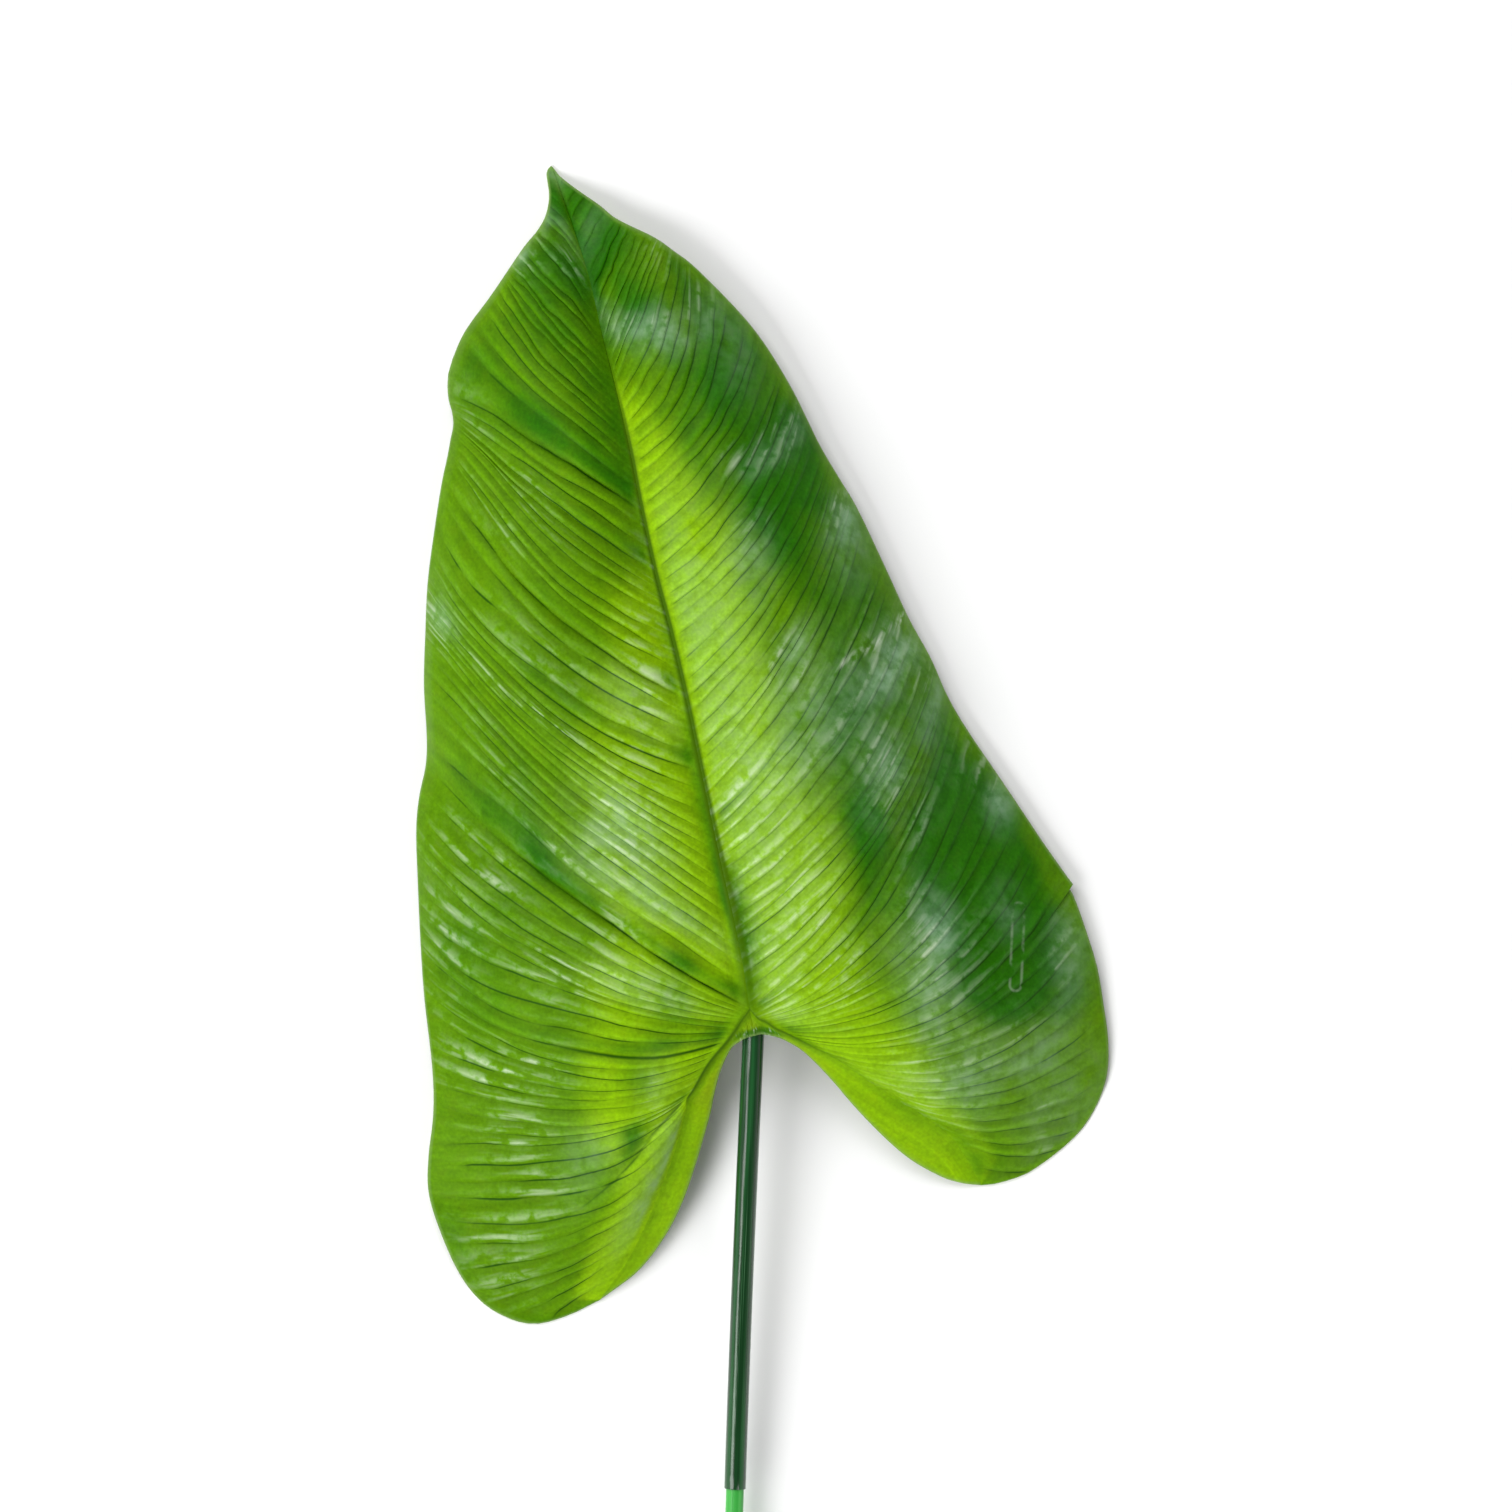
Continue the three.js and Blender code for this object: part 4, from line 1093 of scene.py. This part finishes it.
@dataclass
class StemPiece:
    """A round piece of the stem: a tube, or a rod where it has no bore.

    The outside carries flutes, drawn along its whole length by the die that it was extruded through.
    """

    name: str
    radius: float
    bore: float
    top: float
    end: float
    flutes: int = 0
    flute_depth: float = 0.0
    sides: int = 48
    step: float = 6.0
    lip: float = 0.25
    lip_corner: float = 0.3

    def _profile(self) -> list[tuple[float, float]]:
        """The piece's outline as points of radius and y, from the bore's top round to the outside's top."""
        count = max(2, round((self.top - self.end) / self.step))
        spread = [self.top + (self.end - self.top) * k / count for k in range(1, count)]
        lip, corner = self.lip, self.lip_corner * self.lip
        outer = [
            (self.radius - lip, self.top),
            (self.radius, self.top - lip),
            *((self.radius, y) for y in spread),
            (self.radius, self.end + lip),
            (self.radius - corner, self.end + corner),
            (self.radius - lip, self.end),
        ]
        if self.bore > 0:
            inner = [(self.bore, y) for y in (self.end, *reversed(spread), self.top)]
            return outer + inner + outer[:1]
        return [(0.0, self.top), *outer, (0.0, self.end)]

    def build(self) -> bpy.types.Object:
        """Builds the piece by lathing its outline and bending it along the stem.

        Returns:
            The object, with its section as an attribute for the lines that run along it.
        """
        bm = bmesh.new()
        section = bm.verts.layers.float_vector.new("section")
        corners = turned(bm, self._profile(), self.sides)
        for vertex in corners:
            reach = math.hypot(vertex.co.x, vertex.co.z)
            angle = math.atan2(vertex.co.z, vertex.co.x)
            vertex[section] = Vector((math.cos(angle), math.sin(angle), vertex.co.y * MM))
            if self.flutes and reach > self.radius - 0.01:
                scale = 1 - self.flute_depth * (0.5 - 0.5 * math.cos(self.flutes * angle)) / self.radius
                vertex.co.x *= scale
                vertex.co.z *= scale
        bend_along_stem(corners)
        bmesh.ops.recalc_face_normals(bm, faces=bm.faces)
        return finish_mesh(bm, self.name)


def linear(code: str) -> tuple[float, float, float, float]:
    """Turns an sRGB colour to the linear values that a shader takes.

    Args:
        code: The colour as #rrggbb.

    Returns:
        Linear red, green and blue, and an alpha of 1.
    """
    shares = (int(code[i : i + 2], 16) / 255.0 for i in (1, 3, 5))
    red, green, blue = (s / 12.92 if s <= 0.04045 else ((s + 0.055) / 1.055) ** 2.4 for s in shares)
    return red, green, blue, 1.0


MULTIPLY = {"operation": "MULTIPLY"}
ADD = {"operation": "ADD"}
SUBTRACT = {"operation": "SUBTRACT"}
MAXIMUM = {"operation": "MAXIMUM"}
ABSOLUTE = {"operation": "ABSOLUTE"}
EASED = {"interpolation_type": "SMOOTHSTEP"}
OF_COLOURS = {"data_type": "RGBA", "clamp_factor": True}

Inputs = Mapping[str | int, object] | Sequence[object]
AddNode = Callable[..., bpy.types.NodeSocket | None]


def add_node(
    tree: bpy.types.NodeTree,
    kind: str,
    settings: Mapping[str, object] | None = None,
    inputs: Inputs = (),
    output: str | int = 0,
) -> bpy.types.NodeSocket | None:
    """Adds a node with its settings and links.

    Args:
        tree: The tree that the node goes into.
        kind: The node's type, without the ShaderNode in front.
        settings: Properties of the node.
        inputs: Values of its sockets, in order, or by name or number. Another node's socket is linked.
        output: Which of its outputs is wanted, by name or number.

    Returns:
        That output, or None from a node that has no outputs.
    """
    node = tree.nodes.new("ShaderNode" + kind)
    for name, value in (settings or {}).items():
        setattr(node, name, value)
    for key, value in inputs.items() if isinstance(inputs, Mapping) else enumerate(inputs):
        if isinstance(value, bpy.types.NodeSocket):
            tree.links.new(value, node.inputs[key])
        else:
            node.inputs[key].default_value = value
    return node.outputs[output] if len(node.outputs) else None


def new_material(name: str) -> tuple[bpy.types.Material, AddNode]:
    """An empty node material, and what adds a node to it."""
    material = bpy.data.materials.new(name)
    material.use_nodes = True
    material.node_tree.nodes.clear()
    return material, partial(add_node, material.node_tree)


@dataclass(frozen=True)
class AirbrushedVinyl:
    """Soft vinyl, moulded with its veins and then airbrushed, which gives it a satin skin.

    Its greens run into each other as sprayed paint does, and the lacquer lies in patches that are shinier and
    carry pale painted highlights. Pale painted reflections lie in soft patches, and the grooves are painted
    darker and the swells lighter as painted shade and light. Sizes are in millimetres. The leather is the
    grain of the mould's skin, and it and the brush's specks are a few times coarser than on the real sheet,
    because finer ones don't show from so far. Streaks and fibres run along the veins, as wide as so many
    veins.
    """

    middle: str = "#558400"
    lime: str = "#80ae02"
    strip: str = "#86aa08"
    deep: str = "#236300"
    rib: str = "#406400"
    # furrow darkens the bottoms of the grooves and creases, partly as the veins' colour and partly as painted
    # shade.
    furrow: str = "#1c4800"
    # The pale colours of the painted reflections and of the painted highlights.
    cloud: str = "#9cbfa0"
    bloom: str = "#d5e2c8"
    rim: str = "#7d9a58"
    back: str = "#86a83e"
    back_mottle: str = "#739a30"
    reflection_share: float = 0.5
    highlight_share: float = 0.6
    furrow_share: float = 0.92
    rim_share: float = 0.55
    fleck_share: float = 0.6
    fleck_hue: float = 0.49
    fleck_value: float = 0.7
    brightness: float = 1.04
    # How much darker the grooves and lighter the swells are painted, as painted shade and light.
    groove_light: float = 0.82
    crest_light: float = 1.18
    streak_swing: float = 0.16
    brush_swing: float = 0.2
    leather_swing: float = 0.14
    roughness: float = 0.5
    glossy_roughness: float = 0.34
    back_roughness: float = 0.6
    specular: float = 0.05
    coat_roughness: float = 0.2
    mottle_size: float = 16.0
    brush_size: float = 5.0
    leather_size: float = 1.3
    leather_depth: float = 0.1
    streak_veins: float = 0.6
    streak_length: float = 20.0
    fibre_veins: float = 2.2
    fibre_length: float = 1.3
    mark_centre: tuple[float, float] = (99.6, 33.5)
    mark_half_length: float = 14.5
    mark_radius: float = 2.2
    mark_line: float = 0.9
    mark_tilt: float = 2.5
    mark_low_share: float = 0.3
    mark_top_share: float = 0.25

    def material(self) -> bpy.types.Material:
        """Builds the material.

        Returns:
            The material, which reads the blade's paint attributes.
        """
        material, add = new_material("airbrushed moulded vinyl")
        place = add("TexCoord", output="Object")
        flow = add("Attribute", {"attribute_name": "flow"}, output="Vector")
        paint = {name: add("Attribute", {"attribute_name": name}, output="Fac") for name in (*PAINTS, "back")}
        grain = {}
        for name, start, size, detail in (
            ("mottle", place, (self.mottle_size * MM,) * 3, 4.0),
            ("brush", place, (self.brush_size * MM,) * 3, 5.0),
            ("leather", place, (self.leather_size * MM,) * 3, 2.0),
            ("streak", flow, (self.streak_veins, self.streak_length, 1.0), 2.0),
            ("fibre", flow, (self.fibre_veins, self.fibre_length, 1.0), 2.0),
        ):
            fitted = add("Mapping", None, {"Vector": start, "Scale": Vector([1 / length for length in size])})
            grain[name] = add("TexNoise", None, {"Vector": fitted, "Scale": 1.0, "Detail": detail}, "Fac")
        # How far the mottle moves the soft edges of the lime and of the deep green.
        moved = add("Math", {"operation": "MULTIPLY_ADD"}, (grain["mottle"], 0.5, -0.25))
        soft = {name: add("Math", ADD, (paint[name], moved)) for name in ("lime", "deep")}
        clear = {
            name: add("MapRange", EASED, (value, low, high))
            for name, value, low, high in (
                ("lime", soft["lime"], 0.1, 0.95),
                ("deep", soft["deep"], 0.1, 0.9),
                ("flecks", grain["brush"], 0.45, 0.7),
                ("furrow", paint["furrow"], 0.12, 0.8),
                ("reflection_haze", grain["mottle"], 0.2, 0.55),
                ("streaks", grain["streak"], 0.4, 0.6),
                ("specks", grain["brush"], 0.36, 0.56),
                ("wear", grain["brush"], 0.36, 0.58),
            )
        }
        thin = add("MapRange", None, (grain["brush"], 0.35, 0.65, 0.5, 1.2))
        # Painted shade and light: the grooves darker and the swells lighter, then varied at random by the
        # streaks, the brush's specks and the leather.
        light = add("MapRange", None, (paint["crest"], 0.0, 1.0, self.groove_light, self.crest_light))
        for name, swing in (
            ("streak", self.streak_swing), ("brush", self.brush_swing), ("leather", self.leather_swing),
        ):
            varied = add("MapRange", None, (grain[name], 0.25, 0.75, 1 - swing, 1 + swing))
            light = add("Math", MULTIPLY, (light, varied))
        light = add("Math", MULTIPLY, (light, self.brightness))
        flecks = add("Math", MULTIPLY, (clear["flecks"], self.fleck_share))
        furrow = add("Math", MULTIPLY, (clear["furrow"], self.furrow_share))
        # Painted reflections: pale soft patches, mottled and thinned by the brush.
        reflection_haze = add("Math", MULTIPLY, (paint["cloud"], clear["reflection_haze"]))
        for share in (thin, self.reflection_share):
            reflection_haze = add("Math", MULTIPLY, (reflection_haze, share))
        # Painted highlights: the patches broken into streaks and specks, with the pressed loop's outline; the
        # same mask makes the coat glossier and smoother.
        broken = add("Math", MULTIPLY, (clear["streaks"], clear["specks"]))
        highlight_mask = add("Math", MULTIPLY, (paint["bloom"], broken))
        mark = self._press_mark(add, place, clear["wear"])
        gloss_and_highlight = add("Math", MAXIMUM, (highlight_mask, mark))
        bloom = add("Math", MULTIPLY, (gloss_and_highlight, self.highlight_share))
        rim = add("Math", MULTIPLY, (paint["rim"], self.rim_share))

        def coated(base: object, *coats: tuple[object, object]) -> object:
            """A colour after coats of other colours, each laid over the last one by its share."""
            for share, colour in coats:
                base = add("Mix", OF_COLOURS, {0: share, 6: base, 7: colour}, 2)
            return base

        sprayed = coated(
            linear(self.middle),
            (clear["lime"], linear(self.lime)),
            (clear["deep"], linear(self.deep)),
            (paint["strip"], linear(self.strip)),
        )
        fleck = {"Hue": self.fleck_hue, "Value": self.fleck_value, "Color": sprayed}
        flecked = coated(sprayed, (flecks, add("HueSaturation", None, fleck)))
        lit = add("HueSaturation", None, {"Value": light, "Color": flecked})
        pale = coated(linear(self.back), (flecks, linear(self.back_mottle)))
        colour = coated(
            lit,
            (paint["rib"], linear(self.rib)),
            (furrow, linear(self.furrow)),
            (reflection_haze, linear(self.cloud)),
            (bloom, linear(self.bloom)),
            (rim, linear(self.rim)),
            (paint["back"], pale),
        )
        face = add("MapRange", None, (gloss_and_highlight, 0.0, 1.0, self.roughness, self.glossy_roughness))
        rough = add("Mix", None, {0: paint["back"], 2: face, 3: self.back_roughness})
        height = grain["leather"]
        for other in (grain["fibre"], mark):
            height = add("Math", ADD, (height, other))
        bump = add("Bump", None, {"Strength": 0.5, "Distance": self.leather_depth * MM, "Height": height})
        skin = add("BsdfPrincipled", None, {
            "Base Color": colour,
            "Roughness": rough,
            "Normal": bump,
            "IOR": 1.5,
            "Specular IOR Level": self.specular,
            "Coat Weight": gloss_and_highlight,
            "Coat Roughness": self.coat_roughness,
            "Coat Normal": bump,
        })
        add("OutputMaterial", None, {"Surface": skin})
        return material

    def _press_mark(
        self, add: AddNode, place: bpy.types.NodeSocket, worn: bpy.types.NodeSocket
    ) -> bpy.types.NodeSocket:
        """The faint outline of a narrow loop that was pressed into the right half near its margin: a bump,
        more gloss and a painted highlight.

        Args:
            add: What adds a node to the material.
            place: The place on the blade, in the frame.
            worn: How much of the outline is left at a place.

        Returns:
            The outline's strength, which fades towards its top.
        """
        x, y = self.mark_centre
        start = junction()
        half_length = self.mark_half_length * MM
        centre = Vector((start.x + x * MM, start.y + y * MM, 0.0))
        turn = Vector((0.0, 0.0, math.radians(self.mark_tilt)))
        moved = add("VectorMath", SUBTRACT, (place, centre))
        turned_back = add("Mapping", None, {"Vector": moved, "Rotation": turn})
        across, along = (add("SeparateXYZ", None, (turned_back,), axis) for axis in ("X", "Y"))
        either_way = add("Math", ABSOLUTE, (along,))
        beyond = add("Math", SUBTRACT, (either_way, half_length))
        past_straight = add("Math", MAXIMUM, (beyond, 0.0))
        from_spine = add("CombineXYZ", None, {"X": across, "Y": past_straight})
        radius = add("VectorMath", {"operation": "LENGTH"}, (from_spine,), "Value")
        off_line = add("Math", SUBTRACT, (radius, self.mark_radius * MM))
        off = add("Math", ABSOLUTE, (off_line,))
        line = add("MapRange", EASED, (off, self.mark_line * MM, 0.0))
        shares = (self.mark_low_share, self.mark_top_share)
        fading = add("MapRange", None, (along, -half_length, half_length, *shares))
        for share in (fading, worn):
            line = add("Math", MULTIPLY, (line, share))
        return line


def along_section(add: AddNode, scale: tuple[float, float, float], detail: float) -> bpy.types.NodeSocket:
    """Noise drawn along a piece of the stem.

    Args:
        add: What adds a node to the material.
        scale: How fine it is round the piece, twice, and along it in blotches to a metre.
        detail: How many finer octaves it has.

    Returns:
        The noise, round 0.5.
    """
    section = add("Attribute", {"attribute_name": "section"}, output="Vector")
    fitted = add("Mapping", None, {"Vector": section, "Scale": Vector(scale)})
    return add("TexNoise", None, {"Vector": fitted, "Scale": 1.0, "Detail": detail}, "Fac")


@dataclass(frozen=True)
class ExtrudedPlastic:
    """Soft plastic, extruded through a die, with faint lines along it and lighter bands painted along it as a
    painted sheen.

    The lines are a few times wider than a real die's, because finer ones don't show from so far. Their width
    is a share of the piece's radius, lengths are in metres, and the ripples and line_depth in millimetres.
    """

    name: str
    colour: str
    dark: str
    light: str
    roughness: float
    coat: float
    specular: float = 0.2
    ripple: float = 0.0
    ripple_length: float = 0.03
    coat_roughness: float = 0.08
    line_width: float = 0.09
    line_length: float = 0.12
    line_depth: float = 0.1
    line_share: float = 0.5
    band_scale: tuple[float, float, float] = (1.6, 1.6, 9.0)

    def material(self) -> bpy.types.Material:
        """Builds the material.

        Returns:
            The material, which reads the piece's section attribute.
        """
        material, add = new_material(self.name)
        lines = along_section(add, (1 / self.line_width, 1 / self.line_width, 1 / self.line_length), 3.0)
        bands = along_section(add, self.band_scale, 2.0)
        ripples = along_section(add, (0.8, 0.8, 1 / self.ripple_length), 2.0)
        # Painted sheen: lighter bands along the piece.
        painted_sheen = add("MapRange", EASED, (bands, 0.35, 0.65))
        fine = add("MapRange", EASED, (lines, 0.55, 0.75))
        faint = add("Math", MULTIPLY, (fine, self.line_share))
        colour = linear(self.dark)
        for share, code in ((painted_sheen, self.colour), (faint, self.light)):
            colour = add("Mix", OF_COLOURS, {0: share, 6: colour, 7: linear(code)}, 2)
        uneven = add("Bump", None, {"Strength": 1.0, "Distance": self.ripple * MM, "Height": ripples})
        scored = {"Strength": 0.4, "Distance": self.line_depth * MM, "Height": lines}
        bump = add("Bump", None, {**scored, "Normal": uneven})
        skin = add("BsdfPrincipled", None, {
            "Base Color": colour,
            "Roughness": self.roughness,
            "Normal": bump,
            "IOR": 1.5,
            "Specular IOR Level": self.specular,
            "Coat Weight": self.coat,
            "Coat Roughness": self.coat_roughness,
            "Coat Normal": bump,
        })
        add("OutputMaterial", None, {"Surface": skin})
        return material


@dataclass(frozen=True)
class DrawnSteel:
    """Steel wire, drawn through a die, so that its grey shine is broken into lines along it.

    The lines are coarser than a real wire's, to show on its cut end's few millimetres.
    """

    colour: str = "#8d9194"
    line_scale: tuple[float, float, float] = (14, 14, 20)
    smoothest: float = 0.28
    roughest: float = 0.53

    def material(self) -> bpy.types.Material:
        """Builds the material.

        Returns:
            The material, which reads the wire's section attribute.
        """
        material, add = new_material("drawn steel wire")
        lines = along_section(add, self.line_scale, 2.0)
        rough = add("MapRange", None, (lines, 0.0, 1.0, self.smoothest, self.roughest))
        grey = linear(self.colour)
        skin = add("BsdfPrincipled", None, {"Base Color": grey, "Metallic": 1.0, "Roughness": rough})
        add("OutputMaterial", None, {"Surface": skin})
        return material


@dataclass(frozen=True)
class WhitePaper:
    """Matt white paper, pressed smooth, which takes a soft shadow and gives no shine."""

    colour: str = "#f7f7f7"
    roughness: float = 0.9
    specular: float = 0.1

    def material(self) -> bpy.types.Material:
        """Builds the material."""
        material, add = new_material("matt white paper")
        skin = add("BsdfPrincipled", None, {
            "Base Color": linear(self.colour),
            "Roughness": self.roughness,
            "Specular IOR Level": self.specular,
        })
        add("OutputMaterial", None, {"Surface": skin})
        return material


@dataclass
class Studio:
    """The camera, the pale floor and the soft lights.

    The view is in millimetres round the junction, and the camera's height, the floor and the lights are in
    metres.
    """

    view_width: float = 574.6
    view_centre: tuple[float, float] = (0.4, 106.0)
    view_height: float = 4.0
    view_level: float = 22.0
    view_end: float = 100.0
    floor_size: float = 7.0
    lamps: tuple[tuple[str, tuple[float, float, float], float, float], ...] = (
        ("window", (-1.5, -1.0, 1.7), 1.4, 44.0),
        ("second window", (-0.7, 1.6, 2.0), 1.6, 42.0),
        ("reflector", (1.1, -1.7, 1.5), 0.9, 12.0),
    )
    horizon: float = 1.0
    horizon_height: float = 0.7
    zenith: float = 0.12

    def camera(self) -> None:
        """Sets the camera over the leaf, looking straight down, with the tip at the top of the picture."""
        data = bpy.data.cameras.new("camera")
        eye = bpy.data.objects.new("camera", data)
        bpy.context.scene.collection.objects.link(eye)
        start = junction()
        x, y = self.view_centre
        eye.location = (start.x + x * MM, start.y + y * MM, self.view_height)
        distance = self.view_height - self.view_level * MM
        data.lens = data.sensor_width * distance / (self.view_width * MM)
        data.clip_end = self.view_end
        bpy.context.scene.camera = eye

    def floor(self) -> None:
        """Lays the floor that the leaf rests on."""
        bm = bmesh.new()
        bmesh.ops.create_grid(bm, x_segments=1, y_segments=1, size=self.floor_size / 2)
        mesh = bpy.data.meshes.new("floor")
        bm.to_mesh(mesh)
        bm.free()
        floor = bpy.data.objects.new("floor", mesh)
        bpy.context.scene.collection.objects.link(floor)
        mesh.materials.append(WhitePaper().material())

    def light(self, name: str, place: tuple[float, float, float], size: float, watts: float) -> None:
        """Hangs a square soft light that shines at the leaf.

        Args:
            name: The light's name.
            place: Where it hangs, in metres.
            size: Its side, in metres.
            watts: Its power.
        """
        data = bpy.data.lights.new(name, "AREA")
        data.shape = "SQUARE"
        data.size = size
        data.energy = watts
        lamp = bpy.data.objects.new(name, data)
        lamp.location = place
        lamp.rotation_euler = (-Vector(place)).to_track_quat("-Z", "Y").to_euler()
        lamp.visible_camera = False
        bpy.context.scene.collection.objects.link(lamp)

    def lights(self) -> None:
        """Hangs two lights at the left, a weak one for the shadows, and a sky that is pale at its foot."""
        for lamp in self.lamps:
            self.light(*lamp)
        world = bpy.data.worlds.new("sky")
        world.use_nodes = True
        world.node_tree.nodes.clear()
        add = partial(add_node, world.node_tree)
        direction = add("TexCoord", output="Generated")
        height = add("SeparateXYZ", None, (direction,), "Z")
        strength = add("MapRange", None, (height, 0.0, self.horizon_height, self.horizon, self.zenith))
        back = add("Background", None, {"Color": (1.0, 1.0, 1.0, 1.0), "Strength": strength})
        add("OutputWorld", None, {"Surface": back})
        bpy.context.scene.world = world
        bpy.context.scene.view_settings.view_transform = "Standard"


def dress(piece: bpy.types.Object, material: bpy.types.Material, node: str) -> None:
    """Gives a piece its finish, and puts it in the place of its plain solid."""
    piece.data.materials.append(material)
    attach(piece, "root")
    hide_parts(node)
    LOG.info("%s: %d faces, for %s", piece.name, len(piece.data.polygons), node)


def main() -> None:
    """Builds the studio, then the leaf's pieces from the blade down the stem."""
    logging.basicConfig(level=logging.INFO, format="%(name)s: %(message)s")
    studio = Studio()
    studio.camera()
    dress(Blade().build(), AirbrushedVinyl().material(), "leaf_blade")
    sleeve = StemPiece("stem_sleeve", radius=4.1, bore=3.7, top=19, end=-173)
    sleeve_finish = ExtrudedPlastic(
        "glossy extruded plastic, dark green", "#1c5428", "#0a3414", "#5c9064",
        roughness=0.24, coat=0.6, ripple=0.25,
    )
    dress(sleeve.build(), sleeve_finish.material(), "upper_stem")
    tube = StemPiece("stem_tube", radius=3.4, bore=1.55, top=19, end=-400, flutes=16, flute_depth=0.12)
    tube_finish = ExtrudedPlastic(
        "satin extruded plastic, bright green", "#4eb650", "#369c3c", "#86cc82", roughness=0.4, coat=0.15
    )
    dress(tube.build(), tube_finish.material(), "lower_stem")
    wire = StemPiece("stem_core", radius=1.25, bore=0.0, top=17.5, end=-400, sides=20)
    dress(wire.build(), DrawnSteel().material(), "stem_wire")
    studio.floor()
    studio.lights()


if __name__ == "__main__":
    main()
